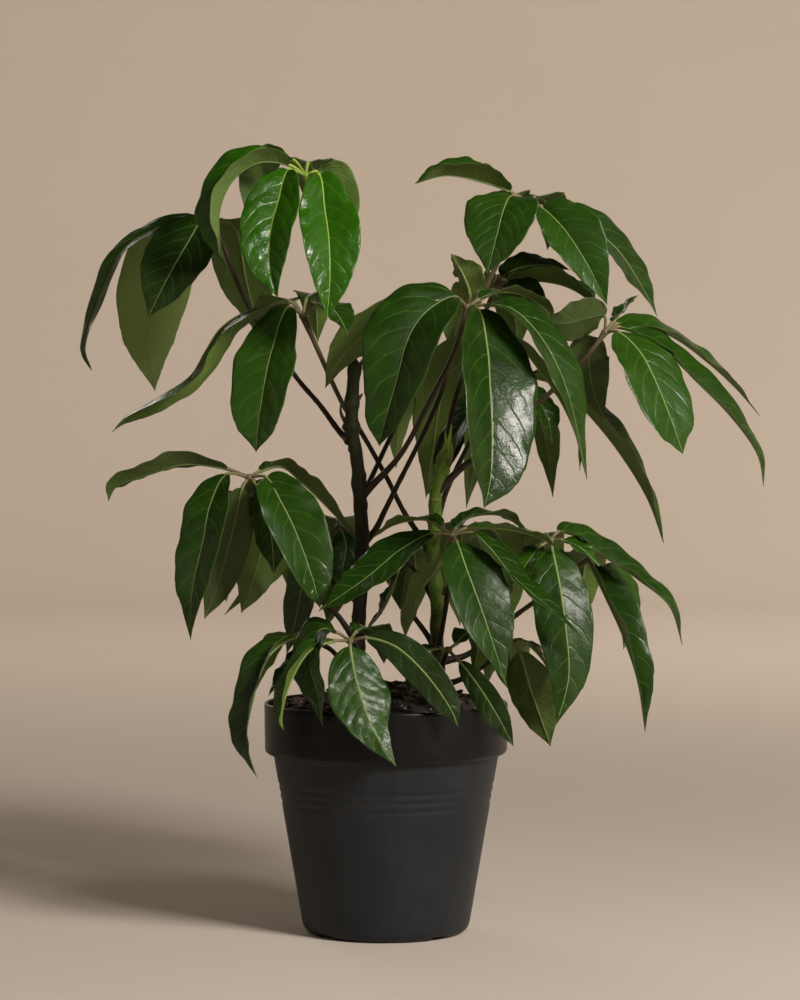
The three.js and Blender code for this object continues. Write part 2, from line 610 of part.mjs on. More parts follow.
// ---------------------------------------------------------------- stems

function stemCurve({ route, tip }) {
  const points = (tip ? [...route, tip] : route).map(seen);
  const foot = points[0].clone();
  foot.z -= FOOT_DROP;
  return new THREE.CatmullRomCurve3([foot, ...points]);
}

// A stem swells at its leaf scars; the right one ends in a pointed growing tip.
function stemRadius({ radius, knots, tip }, share) {
  const [low, high] = radius;
  let thick = low + (high - low) * share;
  for (const [place, swell] of knots) {
    thick += swell * Math.exp(-(((share - place) / SCAR_SPREAD) ** 2));
  }
  return tip ? thick * Math.min(1, TIP.end + TIP.steepness * (1 - share)) : thick;
}

function stemShape(stem, margin) {
  const curve = stemCurve(stem);
  const steps = stem.route.length * 3;
  const above = limb(curve, 0, 1, (share) => stemRadius(stem, share) + margin, STEM_SIDES, steps);
  const foot = curve.getPoint(0);
  const depth = HOLE_DEPTH + 2 * margin;
  const pegRadius = stem.radius[0] + margin;
  const peg = new THREE.CylinderGeometry(pegRadius, pegRadius, depth, STEM_SIDES);
  peg.rotateX(Math.PI / 2).translate(foot.x, foot.y, foot.z + margin + 1 - depth / 2);
  return above.add(solid(peg));
}

// ---------------------------------------------------------------- leaves

// Share of the full half width at a share of the way: a rounded base and a tip drawn out to a point.
function bladeOutline(share) {
  if (share < BLADE.widestAt) {
    return Math.pow(Math.sin((Math.PI / 2) * (share / BLADE.widestAt)), BLADE.baseRoundness);
  }
  const beyond = (share - BLADE.widestAt) / (1 - BLADE.widestAt);
  return Math.pow(1 - Math.pow(beyond, BLADE.tipFullness), BLADE.tipSharpness);
}

// The direction in which a leaflet leaves its hub, level with the ground.
function headingOf(hub, rib) {
  const heading = new THREE.Vector3();
  for (const point of rib) {
    heading.add(point).sub(hub);
  }
  heading.z = 0;
  return heading.normalize();
}

// One leaflet: its petiolule and blade are a single strip of quads with the midrib down its middle, split
// alike on the upper and the lower face. A section is three points across: an edge, the midrib, an edge.
function leafletShape(hub, rib, { width, roll, fold }, seed) {
  const curve = new THREE.CatmullRomCurve3([hub, ...rib]);
  const base = 1 / rib.length;
  const side = UP.clone().cross(headingOf(hub, rib));
  const turn = THREE.MathUtils.degToRad(roll);
  const rise = THREE.MathUtils.degToRad(fold);
  const phase = TURN * chance(seed);
  const stations = curve.getLength() < BLADE.shortLength ? BLADE.shortStations : BLADE.stations;
  const petiolule = { half: PETIOLULE.radius, edge: PETIOLULE.edge, rib: 2 * PETIOLULE.radius, lift: 0 };
  const sections = [
    { share: 0, ...petiolule },
    { share: base * PETIOLULE.share, ...petiolule },
  ];
  for (const station of stations) {
    const half = (width / 2) * bladeOutline(station) + BLADE.endHalfWidth;
    const share = base + (1 - base) * station;
    const wave = BLADE.ripple * Math.min(1, half / BLADE.fullWidthHalf);
    const thickness = { edge: BLADE.edgeThickness, rib: BLADE.ribThickness };
    sections.push({ share, half, ...thickness, lift: 1, station, wave });
  }
  const positions = [];
  for (const section of sections) {
    const tangent = curve.getTangent(section.share);
    const level = side.clone().addScaledVector(tangent, -side.dot(tangent)).normalize();
    const face = tangent.clone().cross(level);
    const out = level.clone().multiplyScalar(Math.cos(turn)).addScaledVector(face, -Math.sin(turn));
    const top = face.clone().multiplyScalar(Math.cos(turn)).addScaledVector(level, Math.sin(turn));
    const middle = curve.getPoint(section.share);
    for (const lane of [-1, 0, 1]) {
      const angle = TURN * BLADE.waves * section.station + phase + lane;
      const ripple = section.lift ? section.wave * Math.sin(angle) : 0;
      const lift = Math.abs(lane) * (section.lift * section.half * Math.sin(rise) + ripple);
      const place = middle.clone().addScaledVector(out, lane * section.half * Math.cos(rise));
      place.addScaledVector(top, lift);
      const thick = lane === 0 ? section.rib : section.edge;
      positions.push(...place.clone().addScaledVector(top, thick / 2).toArray());
      positions.push(...place.clone().addScaledVector(top, -thick / 2).toArray());
    }
  }
  const at = (section, lane, lower) => section * 6 + lane * 2 + lower;
  const index = [];
  const last = sections.length - 1;
  const quad = (a, b, c, d) => index.push(a, c, b, a, d, c);
  for (let i = 0; i < last; i += 1) {
    for (let lane = 0; lane < 2; lane += 1) {
      quad(at(i, lane, 0), at(i, lane + 1, 0), at(i + 1, lane + 1, 0), at(i + 1, lane, 0));
      index.push(at(i, lane, 1), at(i, lane + 1, 1), at(i + 1, lane + 1, 1));
      index.push(at(i, lane, 1), at(i + 1, lane + 1, 1), at(i + 1, lane, 1));
    }
    quad(at(i, 0, 0), at(i + 1, 0, 0), at(i + 1, 0, 1), at(i, 0, 1));
    quad(at(i, 2, 0), at(i, 2, 1), at(i + 1, 2, 1), at(i + 1, 2, 0));
  }
  for (let lane = 0; lane < 2; lane += 1) {
    quad(at(0, lane, 0), at(0, lane, 1), at(0, lane + 1, 1), at(0, lane + 1, 0));
    quad(at(last, lane, 0), at(last, lane + 1, 0), at(last, lane + 1, 1), at(last, lane, 1));
  }
  const geometry = new THREE.BufferGeometry();
  geometry.setAttribute('position', new THREE.Float32BufferAttribute(positions, 3));
  geometry.setIndex(index);
  return solid(geometry);
}

function leafShape({ hub, petiole, leaflets }, seed) {
  const middle = seen(hub);
  const stalk = new THREE.CatmullRomCurve3([...petiole.map(seen), middle]);
  const stalkRadius = (share) => PETIOLE.radius + PETIOLE.flare * Math.pow(1 - share, PETIOLE.flarePower);
  const parts = [
    limb(stalk, 0, 1, stalkRadius, PETIOLE.sides, petiole.length + 1),
    solid(new THREE.IcosahedronGeometry(HUB_RADIUS, 0).translate(middle.x, middle.y, middle.z)),
  ];
  leaflets.forEach((shape, number) => {
    const rib = shape.rib.map(([across, up, away]) => seen([across, up, away + hub[2]]));
    parts.push(leafletShape(middle, rib, shape, seed + number));
  });
  return wasm.Manifold.union(parts);
}

// ---------------------------------------------------------------- the plant

const plant = new THREE.Group();
plant.name = 'potted_umbrella_plant';

const grownStems = {};
let soil = soilShape();
plant.add(nodeOf('pot', potShape(), BLACK_PLASTIC));
for (const [name, stem] of Object.entries(STEMS)) {
  grownStems[name] = stemShape(stem, GAP);
  soil = soil.subtract(grownStems[name]);
}
plant.add(nodeOf('soil', largestBody(soil), POTTING_SOIL));
for (const [name, stem] of Object.entries(STEMS)) {
  plant.add(nodeOf(`stem_${name}`, stemShape(stem, 0), stem.colour));
}
Object.entries(LEAVES).forEach(([name, leaf], number) => {
  const shape = leafShape(leaf, 10 * number).subtract(grownStems[leaf.stem]);
  plant.add(nodeOf(name, largestBody(shape), leaf.colour));
});

export default plant;
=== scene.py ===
"""A potted umbrella plant: a nursery pot, its soil, two woody stems and a palmate leaf on every stalk.

Everything is in the frame of the solids: X to the right, Y away from the front, Z up, and the origin in the
middle of the pot's underside. The plans of stems and leaves are in millimetres, the meshes in metres.
"""

from __future__ import annotations

import logging
from dataclasses import dataclass, field
from enum import Enum
from math import cos, pi, radians, sin, tau

import bpy
import numpy as np
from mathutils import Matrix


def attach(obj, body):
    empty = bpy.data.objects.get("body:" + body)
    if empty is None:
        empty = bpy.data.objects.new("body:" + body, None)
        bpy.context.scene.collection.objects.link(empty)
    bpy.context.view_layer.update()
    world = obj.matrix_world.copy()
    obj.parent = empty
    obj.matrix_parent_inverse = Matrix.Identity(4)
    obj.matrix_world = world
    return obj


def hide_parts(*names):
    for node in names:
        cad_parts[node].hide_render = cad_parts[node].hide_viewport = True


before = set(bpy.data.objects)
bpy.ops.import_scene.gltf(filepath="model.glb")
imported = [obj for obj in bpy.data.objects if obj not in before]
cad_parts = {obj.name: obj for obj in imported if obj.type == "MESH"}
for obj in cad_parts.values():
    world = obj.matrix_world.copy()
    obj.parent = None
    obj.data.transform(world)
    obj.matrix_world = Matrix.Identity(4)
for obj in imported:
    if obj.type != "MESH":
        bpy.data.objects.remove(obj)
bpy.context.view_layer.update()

log = logging.getLogger("umbrella_plant")

MM = 0.001
UP = np.array([0.0, 0.0, 1.0])
EYE = np.array([14.0, -3050.0, 520.0])  # the foliage is laid out as seen from here, in millimetres
PHOTO_HEIGHT = 1000  # pixels, each a millimetre across at the pot
SENSOR = 36  # millimetres
TILT = 1.65  # degrees the camera looks down

# Side veins, which the blades' surface and their finish share.
VEIN_LEAN = 0.62  # how far a vein runs forwards for each step across
VEIN_BEND = 0.55  # how much further it has run at the margin
VEIN_SHIFT = 0.42  # how far the right half's veins stand ahead, in spacings

Point = tuple[float, float, float]
Pair = tuple[float, float]
Colour = tuple[float, float, float, float]


class Age(Enum):
    """How old a leaf is, which sets its finish."""

    YOUNG = "young_leaf"
    GROWN = "grown_leaf"
    SHADED = "shaded_leaf"


@dataclass(frozen=True)
class Leaflet:
    """One leaflet: its width, roll about the midrib, rise of its halves, and the midrib from base to tip.

    Angles are in degrees. A place is (across, up, away) in the front elevation, with its depth counted from
    the leaf's hub. The others are how crinkled it is, what its skin adds to the roughness, how stout its
    midrib is and its painted light, from -1 for the darkest painted shade to 1 for the palest painted light.
    """

    width: float
    roll: float
    fold: float
    rib: tuple[Point, ...]
    crinkle: float = 1.0
    dull: float = 0.0
    stout: float = 1.0
    # painted shade below 0 and painted light above 0, blended into the blade's colour
    tone: float = 0.0


@dataclass(frozen=True)
class Leaf:
    """A palmate leaf: its age, its hub, the route of its stalk and its leaflets."""

    name: str
    age: Age
    hub: Point
    petiole: tuple[Point, ...]
    leaflets: tuple[Leaflet, ...]


@dataclass(frozen=True)
class StemPlan:
    """A stem: its slot, the seed of its grain, its route, its radius at the foot and the top, and its tip.

    Its knots are pairs of the share of the way and how far the stem swells there.
    """

    name: str
    slot: str
    seed: int
    route: tuple[Point, ...]
    radius: Pair
    knots: tuple[Pair, ...]
    tip: Point | None = None


STEMS = (
    StemPlan(
        "left", "brown_stem", 20,
        ((-26, 237, 0), (-28, 292, 0), (-26, 332, 0), (-24, 392, 0), (-26, 432, 0), (-29, 472, 0),
         (-34, 502, 0), (-34, 532, 0), (-31, 569, 0)),
        (7.4, 6.2),
        ((0.6, 1.4), (0.79, 2.2), (0.88, 1.8), (0.98, 1.2)),
    ),
    StemPlan(
        "right", "green_stem", 30,
        ((54, 242, 0), (51, 292, 0), (51, 332, 0), (47, 372, 0), (49, 412, 0), (50, 442, 0), (57, 466, 0)),
        (7.0, 6.0),
        ((0.42, 1.2), (0.62, 1.4), (0.86, 2.0)),
        (62, 493, 0),
    ),
)

LEAVES = (
    Leaf("crown_young", Age.YOUNG, (-80, 756, -20),
         ((-31, 566, 0), (-41, 597, 10), (-47, 620, 14), (-61, 692, 2)), (
        Leaflet(62, 14, 24, ((-97, 761, -12), (-107, 732, -30), (-115, 700, -48), (-116, 665, -58),
            (-108, 634, -62)), crinkle=2.3, stout=1.3),
        Leaflet(64, -12, 22, ((-67, 757, -12), (-61, 722, -32), (-57, 692, -48), (-56, 652, -58),
            (-59, 612, -62)), crinkle=2.0, stout=1.3),
        Leaflet(58, 10, 40, ((-96, 766, -2), (-127, 769, -12), (-153, 751, -20), (-166, 721, -24),
            (-165, 690, -22), (-159, 664, -18)), crinkle=1.8, stout=0.4),
        Leaflet(42, -20, 10, ((-92, 771, 10), (-108, 775, 20), (-124, 764, 30), (-133, 736, 34),
            (-136, 704, 34)), crinkle=1.2, stout=0.4, tone=-0.1),
        Leaflet(48, 40, 4, ((-70, 760, 6), (-58, 756, 18), (-50, 736, 26), (-46, 706, 28), (-42, 668, 26)),
            crinkle=1.2, stout=0.4, tone=-0.12),
        Leaflet(48, 0, 13, ((-78, 768, 14), (-74, 766, 48), (-68, 742, 86), (-64, 700, 104)), crinkle=2.0,
            stout=1.3),
    )),
    Leaf("crown_left", Age.GROWN, (-173, 710, 40),
         ((-37, 492, 0), (-46, 500, 12), (-66, 527, 22), (-89, 554, 28), (-139, 629, 36),
          (-162, 685, 40)), (
        Leaflet(74, 26, 10, ((-181, 714, -12), (-199, 687, -30), (-219, 652, -42), (-238, 614, -45))),
        Leaflet(78, -28, 8, ((-188, 708, 16), (-214, 688, 44), (-231, 642, 62), (-236, 587, 68),
            (-231, 541, 66)), stout=0.6, tone=0.9),
        Leaflet(30, 36, 12, ((-190, 714, 2), (-222, 706, 6), (-260, 684, 8), (-285, 637, 10),
            (-301, 584, 8), (-294, 561, 4))),
        Leaflet(80, 4, 4, ((-164, 712, 14), (-149, 702, 44), (-139, 650, 66), (-124, 592, 76))),
    )),
    Leaf("upper_left", Age.GROWN, (-83, 616, 10),
         ((48, 372, 0), (31, 400, 14), (17, 422, 22), (1, 454, 26), (-29, 507, 26), (-41, 524, 22)), (
        Leaflet(70, 10, 14, ((-97, 625, -12), (-114, 582, -40), (-121, 552, -52), (-128, 505, -62),
            (-130, 480, -62)), crinkle=1.3, tone=-0.12),
        Leaflet(50, -20, -28, ((-96, 630, -4), (-140, 620, -15), (-165, 604, -20), (-181, 580, -25),
            (-195, 557, -28), (-224, 537, -30), (-262, 514, -25), (-274, 500, -22))),
        Leaflet(44, 0, 13, ((-92, 630, 12), (-106, 630, 38), (-118, 612, 62), (-122, 570, 72))),
        Leaflet(40, 0, 13, ((-80, 632, 14), (-74, 638, 44), (-70, 626, 80), (-68, 590, 100))),
        Leaflet(38, 0, 13, ((-68, 626, -12), (-56, 625, -40), (-46, 614, -64), (-38, 598, -78))),
    )),
    Leaf("crown_right", Age.GROWN, (139, 729, 30),
         ((-24, 387, 0), (-11, 402, 4), (-1, 422, 8), (14, 452, 12), (34, 492, 20), (54, 537, 28),
          (69, 582, 32), (94, 632, 34)), (
        Leaflet(50, 12, 44, ((124, 740, -5), (95, 750, -15), (60, 756, -24), (29, 748, -30)), stout=0.7,
            tone=-0.3),
        Leaflet(76, 16, 8, ((126, 736, -12), (118, 724, -30), (110, 694, -46), (101, 658, -50)), dull=0.1,
            tone=-0.12),
        Leaflet(66, -45, 28, ((155, 724, -10), (174, 707, -24), (189, 687, -34), (204, 662, -40),
            (221, 627, -42)), dull=0.1, tone=-0.15),
        Leaflet(56, -45, 8, ((160, 724, 8), (197, 709, 18), (231, 682, 28), (254, 648, 32), (271, 616, 30)),
            dull=0.1, tone=-0.12),
        Leaflet(44, 0, 13, ((148, 734, 12), (158, 732, 44), (165, 712, 70), (161, 682, 80))),
        Leaflet(44, 0, 13, ((132, 736, 12), (124, 734, 44), (116, 712, 70), (112, 684, 80))),
    )),
    Leaf("centre", Age.GROWN, (81, 625, -60),
         ((-24, 437, 0), (14, 477, -22), (44, 532, -38), (69, 582, -52)), (
        Leaflet(86, 30, 18, ((69, 635, -6), (49, 627, -20), (32, 611, -32), (20, 588, -40), (12, 557, -46),
            (-2, 507, -50), (-7, 486, -50))),
        Leaflet(54, -38, 8, ((70, 634, 6), (38, 630, 18), (9, 614, 26), (-25, 595, 30), (-48, 570, 32),
            (-61, 544, 32))),
        Leaflet(92, 20, 20, ((92, 623, -12), (101, 585, -40), (104, 545, -62), (106, 495, -80),
            (104, 450, -92), (98, 424, -97)), crinkle=1.2, stout=2.2),
        Leaflet(62, -12, 12, ((98, 627, -8), (124, 624, -18), (151, 600, -28), (174, 560, -38),
            (189, 512, -42), (201, 453, -42))),
        Leaflet(36, 0, 13, ((92, 618, 6), (130, 592, 16), (154, 562, 20), (175, 531, 22), (192, 490, 22),
            (194, 462, 20))),
        Leaflet(42, 20, 20, ((84, 638, -6), (78, 656, -14), (65, 678, -20)), tone=-0.2),
        Leaflet(32, 0, 13, ((92, 632, 12), (111, 640, 30), (134, 638, 46), (158, 624, 58), (169, 606, 60))),
    )),
    Leaf("centre_back", Age.SHADED, (111, 649, 60),
         ((49, 422, 0), (56, 462, 2), (66, 520, 8), (88, 590, 34)), (
        Leaflet(40, -30, 10, ((116, 655, 6), (134, 664, 16), (160, 667, 24), (184, 662, 30))),
        Leaflet(44, 5, 34, ((122, 650, -8), (150, 652, -20), (180, 646, -28), (200, 634, -32),
            (211, 622, -33))),
        Leaflet(44, -40, 10, ((116, 645, -10), (130, 640, -26), (145, 626, -36), (158, 606, -40))),
        Leaflet(44, 0, 13, ((104, 650, 8), (88, 644, 30), (72, 614, 48), (64, 578, 54))),
        Leaflet(50, 0, 13, ((112, 656, 14), (120, 650, 52), (128, 620, 82), (132, 580, 94))),
    )),
    Leaf("right", Age.GROWN, (219, 600, 0),
         ((50, 440, 0), (79, 467, 2), (94, 477, 3), (124, 507, 4), (157, 533, 4), (189, 565, 2),
          (204, 580, 0)), (
        Leaflet(76, -12, 3, ((232, 600, -12), (254, 580, -32), (269, 552, -44), (289, 502, -54),
            (297, 478, -54))),
        Leaflet(46, -62, 6, ((218, 616, -4), (202, 614, -14), (178, 608, -24), (155, 612, -28)), stout=0.4,
            tone=-0.55),
        Leaflet(24, 0, 13, ((226, 610, 4), (238, 624, 10), (252, 637, 14))),
        Leaflet(50, -24, 20, ((232, 605, 2), (264, 592, 4), (288, 574, 6), (311, 551, 8), (345, 516, 10),
            (372, 477, 12), (378, 446, 12))),
        Leaflet(46, -22, 14, ((230, 608, 16), (260, 607, 30), (290, 594, 40), (322, 570, 46),
            (350, 544, 48), (374, 516, 48))),
        Leaflet(42, -24, -4, ((214, 594, 10), (203, 580, 22), (206, 548, 28), (218, 512, 26)), stout=0.6,
            tone=-0.5),
    )),
    Leaf("right_back", Age.SHADED, (124, 554, 70),
         ((48, 398, 0), (60, 440, 26), (84, 490, 46), (104, 526, 62)), (
        Leaflet(64, -4, 28, ((142, 556, -2), (176, 545, -8), (205, 516, -12), (235, 478, -15),
            (262, 433, -15), (278, 389, -12))),
        Leaflet(36, 0, 10, ((134, 549, -12), (150, 535, -30), (162, 512, -40), (166, 488, -42))),
        Leaflet(38, 0, 10, ((132, 552, 12), (148, 530, 36), (160, 490, 50), (167, 435, 52))),
        Leaflet(40, 0, 10, ((120, 550, 12), (104, 532, 36), (92, 485, 50), (80, 424, 52))),
        Leaflet(62, -80, 0, ((112, 560, 6), (84, 572, 26), (62, 556, 44), (52, 517, 54), (46, 475, 56),
            (40, 434, 54))),
        Leaflet(42, 10, 10, ((114, 550, -8), (95, 535, -24), (78, 512, -34), (60, 480, -38),
            (42, 438, -38))),
    )),
    Leaf("mid_left", Age.GROWN, (-137, 455, -20),
         ((-27, 286, 0), (-38, 302, -6), (-49, 317, -8), (-61, 327, -9), (-86, 362, -12), (-116, 417, -16),
          (-124, 432, -18)), (
        Leaflet(42, -24, 18, ((-158, 463, -2), (-201, 468, -8), (-236, 458, -12), (-270, 445, -14),
            (-278, 431, -12)), stout=0.5, tone=-0.52),
        Leaflet(56, 10, 10, ((-159, 458, -12), (-176, 427, -32), (-183, 392, -45), (-194, 342, -55),
            (-196, 292, -56))),
        Leaflet(64, -30, 22, ((-120, 455, -12), (-106, 432, -28), (-91, 402, -40), (-73, 352, -50),
            (-66, 324, -50)), tone=-0.1),
        Leaflet(40, -72, 0, ((-144, 444, -6), (-150, 416, 4), (-160, 376, 10), (-171, 340, 10),
            (-182, 313, 8)), stout=0.6, tone=-0.5),
        Leaflet(48, 0, 8, ((-135, 452, 12), (-128, 425, 35), (-125, 385, 45), (-135, 345, 48),
            (-145, 319, 46)), stout=0.6, tone=-0.25),
        Leaflet(36, 0, 26, ((-126, 461, 8), (-104, 466, 24), (-84, 450, 36), (-52, 418, 42),
            (-20, 381, 48))),
        Leaflet(44, -72, -4, ((-132, 450, -6), (-120, 425, -20), (-114, 390, -28), (-112, 357, -30)),
            tone=-0.3),
        Leaflet(20, 0, 20, ((-130, 450, 16), (-112, 420, 40), (-104, 388, 52), (-112, 362, 58),
            (-140, 340, 60), (-162, 317, 60))),
    )),
    Leaf("low_centre", Age.GROWN, (66, 397, -70),
         ((51, 278, 0), (54, 292, -14), (61, 332, -44), (64, 357, -58)), (
        Leaflet(50, 30, 10, ((47, 399, -6), (14, 382, -18), (-16, 357, -26), (-41, 339, -30),
            (-68, 321, -30))),
        Leaflet(66, -8, 16, ((71, 390, -12), (81, 362, -35), (94, 327, -50), (106, 292, -58),
            (120, 248, -60)), crinkle=1.2, dull=0.12),
        Leaflet(50, -8, 14, ((86, 399, -6), (104, 384, -14), (124, 359, -22), (154, 332, -28),
            (197, 294, -28))),
        Leaflet(34, 0, 13, ((56, 404, 8), (39, 413, 24), (9, 408, 38), (-14, 394, 46))),
        Leaflet(34, 0, 13, ((70, 404, 8), (85, 416, 24), (119, 416, 42), (143, 398, 52))),
        Leaflet(34, 0, 13, ((80, 404, 4), (105, 405, 12), (129, 402, 18), (155, 394, 22), (174, 382, 24))),
        Leaflet(32, 0, 20, ((60, 385, 8), (48, 362, 22), (36, 345, 30), (24, 315, 34), (19, 292, 34))),
    )),
    Leaf("low_right", Age.GROWN, (165, 392, -20),
         ((51, 337, 0), (66, 344, -2), (114, 365, -10), (136, 376, -14), (146, 383, -16)), (
        Leaflet(58, -5, -9, ((166, 385, -14), (173, 352, -38), (179, 312, -52), (183, 255, -60),
            (171, 207, -60)), crinkle=1.2, dull=0.09),
        Leaflet(48, -26, 20, ((172, 400, 4), (190, 397, 10), (219, 376, 18), (254, 352, 24), (284, 326, 26),
            (297, 287, 24))),
        Leaflet(30, -10, 13, ((176, 392, -6), (195, 384, -16), (214, 366, -22))),
        Leaflet(30, 10, 13, ((155, 386, -10), (142, 370, -22), (128, 346, -28))),
        Leaflet(44, 0, 13, ((160, 398, 14), (158, 392, 44), (158, 362, 70), (162, 325, 78))),
    )),
    Leaf("outer_right", Age.GROWN, (202, 372, 20),
         ((52, 270, 0), (79, 276, 10), (99, 290, 14), (132, 318, 18), (154, 334, 19), (184, 360, 20)), (
        Leaflet(48, 2, 50, ((206, 366, -12), (222, 332, -30), (237, 298, -42), (252, 252, -50),
            (260, 199, -50))),
        Leaflet(42, -72, 0, ((216, 364, 6), (234, 346, 16), (244, 316, 22), (238, 282, 22))),
        Leaflet(44, 0, 13, ((202, 380, 14), (200, 374, 44), (196, 344, 68), (192, 302, 76))),
    )),
    Leaf("base_front", Age.GROWN, (-36, 291, -95),
         ((-27, 266, 0), (-29, 280, -26), (-33, 291, -62)), (
        Leaflet(60, -10, -8, ((-36, 286, -12), (-31, 257, -30), (-24, 232, -40), (-14, 204, -46),
            (10, 165, -48)), crinkle=1.7, dull=0.08),
        Leaflet(24, 4, 40, ((-52, 291, -8), (-76, 282, -16), (-96, 250, -22), (-105, 214, -26),
            (-103, 201, -26))),
        Leaflet(34, -76, -4, ((-20, 294, -8), (8, 286, -22), (30, 268, -30), (52, 242, -34), (66, 220, -35),
            (72, 205, -35)), dull=0.12, tone=-0.55),
        Leaflet(50, 15, 12, ((-50, 300, 0), (-66, 302, -4), (-76, 270, -12), (-68, 235, -18),
            (-64, 206, -20))),
        Leaflet(38, 0, 13, ((-30, 300, 14), (-18, 304, 34), (-6, 292, 50), (-2, 268, 58))),
    )),
    Leaf("base_left", Age.SHADED, (-74, 292, -40),
         ((-27, 248, 0), (-40, 262, -8), (-54, 281, -24)), (
        Leaflet(44, -2, 32, ((-92, 294, -12), (-118, 276, -30), (-134, 232, -44), (-140, 190, -48),
            (-130, 154, -46))),
        Leaflet(26, 0, 13, ((-82, 286, -10), (-92, 270, -20), (-105, 252, -28), (-118, 236, -32))),
        Leaflet(36, 0, 13, ((-84, 298, 12), (-106, 292, 40), (-124, 266, 60), (-131, 240, 66))),
    )),
    Leaf("inner_back", Age.SHADED, (-48, 404, 80),
         ((51, 272, 0), (44, 292, 20), (19, 327, 44), (2, 352, 58), (-21, 387, 72)), (
        Leaflet(36, 0, 10, ((-44, 400, -12), (-40, 386, -20), (-43, 366, -26), (-46, 346, -28))),
        Leaflet(44, 68, 0, ((-58, 402, -4), (-74, 380, 6), (-84, 345, 12), (-91, 310, 14),
            (-100, 277, 14))),
        Leaflet(34, 0, 13, ((-52, 398, 10), (-50, 368, 26), (-52, 335, 34), (-59, 305, 36))),
        Leaflet(46, 0, 13, ((-48, 412, 14), (-50, 410, 52), (-54, 386, 86), (-58, 346, 100))),
    )),
    Leaf("inner_centre", Age.SHADED, (20, 372, 24),
         ((51, 325, 0), (42, 342, 16), (30, 360, 28)), (
        Leaflet(32, 0, 13, ((20, 366, 8), (18, 348, 14), (14, 322, 14))),
        Leaflet(34, 0, 13, ((12, 362, -6), (4, 338, -8), (-6, 318, -4), (-20, 301, 2))),
        Leaflet(38, 0, 13, ((24, 380, 12), (28, 378, 44), (30, 352, 70), (30, 318, 78))),
    )),
    Leaf("rim_right", Age.SHADED, (62, 282, -62),
         ((54, 252, 0), (57, 268, -20), (61, 280, -44)), (
        Leaflet(26, -70, 6, ((74, 270, -12), (98, 238, -30), (115, 210, -38), (128, 185, -40)), dull=0.1,
            tone=-0.4),
        Leaflet(36, 0, 13, ((70, 288, 6), (84, 300, 16), (92, 284, 26), (86, 254, 32))),
        Leaflet(34, 0, 13, ((52, 284, -8), (38, 280, -18), (28, 262, -26), (24, 238, -28))),
    )),
    Leaf("base_right", Age.SHADED, (126, 290, -30),
         ((54, 246, 0), (74, 252, -12), (98, 266, -22), (116, 280, -28)), (
        Leaflet(50, 40, 8, ((134, 280, 6), (144, 246, 14), (154, 217, 16), (165, 185, 14)), tone=-0.45),
        Leaflet(28, 0, 13, ((136, 292, 0), (156, 274, -4), (172, 240, -8))),
        Leaflet(24, 0, 13, ((118, 286, 6), (108, 272, 16), (102, 248, 22))),
        Leaflet(40, 0, 13, ((124, 292, 12), (124, 284, 40), (126, 258, 62), (130, 236, 68))),
    )),
    Leaf("back_upper", Age.SHADED, (54, 570, 180),
         ((-26, 430, 0), (-14, 456, 40), (10, 506, 104), (36, 550, 156)), (
        Leaflet(56, 0, 13, ((42, 576, 14), (26, 566, 46), (14, 524, 70), (10, 464, 78))),
        Leaflet(58, 0, 13, ((62, 578, 16), (76, 568, 50), (84, 524, 74), (88, 460, 80))),
        Leaflet(50, 0, 13, ((70, 574, 6), (104, 570, 20), (130, 536, 30), (140, 480, 32))),
        Leaflet(48, 0, 13, ((40, 574, -4), (22, 574, -10), (8, 548, -16), (0, 500, -18))),
        Leaflet(50, 0, 13, ((54, 564, -10), (60, 540, -22), (62, 500, -28), (60, 456, -30))),
    )),
    Leaf("back_left", Age.SHADED, (-128, 436, 110),
         ((-27, 330, 0), (-46, 344, 24), (-92, 372, 56), (-120, 410, 92)), (
        Leaflet(54, 0, 13, ((-136, 440, 14), (-150, 428, 48), (-158, 384, 70), (-160, 330, 76))),
        Leaflet(54, 0, 13, ((-120, 440, 16), (-108, 430, 50), (-98, 386, 74), (-94, 334, 80))),
        Leaflet(46, 0, 13, ((-142, 438, 2), (-160, 424, 6), (-172, 392, 10), (-176, 348, 10))),
        Leaflet(46, 0, 13, ((-116, 434, 2), (-102, 416, 8), (-94, 380, 12), (-92, 340, 12))),
    )),
    Leaf("back_low", Age.SHADED, (88, 400, 110),
         ((51, 300, 0), (58, 326, 34), (70, 366, 76), (82, 390, 102)), (
        Leaflet(52, 0, 13, ((84, 406, 14), (76, 398, 48), (72, 358, 72), (74, 306, 78))),
        Leaflet(52, 0, 13, ((96, 406, 12), (112, 398, 44), (122, 358, 62), (124, 308, 66))),
        Leaflet(46, 0, 13, ((96, 396, -6), (106, 378, -16), (112, 344, -22), (112, 304, -24))),
    )),
)

# ---------------------------------------------------------------- curves and surfaces


def seen(places: np.ndarray) -> np.ndarray:
    """Carries places in the front elevation along the line of sight to their depth.

    A place (across, up, away) becomes eye + (across, 0, up - eye) * (away - eye.y) / -eye.y.

    Args:
        places: rows of (across, up, away) in millimetres.

    Returns:
        Rows of (x, y, z) in metres.
    """
    places = np.asarray(places, float)
    flat = np.stack([places[:, 0], np.zeros(len(places)), places[:, 1]], axis=1)
    reach = (places[:, 2] - EYE[1]) / -EYE[1]
    return ((flat - EYE) * reach[:, None] + EYE) * MM


def unit(vectors: np.ndarray) -> np.ndarray:
    """Rows scaled to length one."""
    return vectors / np.maximum(np.linalg.norm(vectors, axis=-1, keepdims=True), 1e-12)


def vectors_of(*parts: np.ndarray | float) -> np.ndarray:
    """Vectors from their parts, each part spread over the grid that they share."""
    return np.stack(np.broadcast_arrays(*parts), axis=-1)


def round_turn(count: int) -> np.ndarray:
    """So many equal steps round a turn."""
    return np.linspace(0, tau, count, endpoint=False)


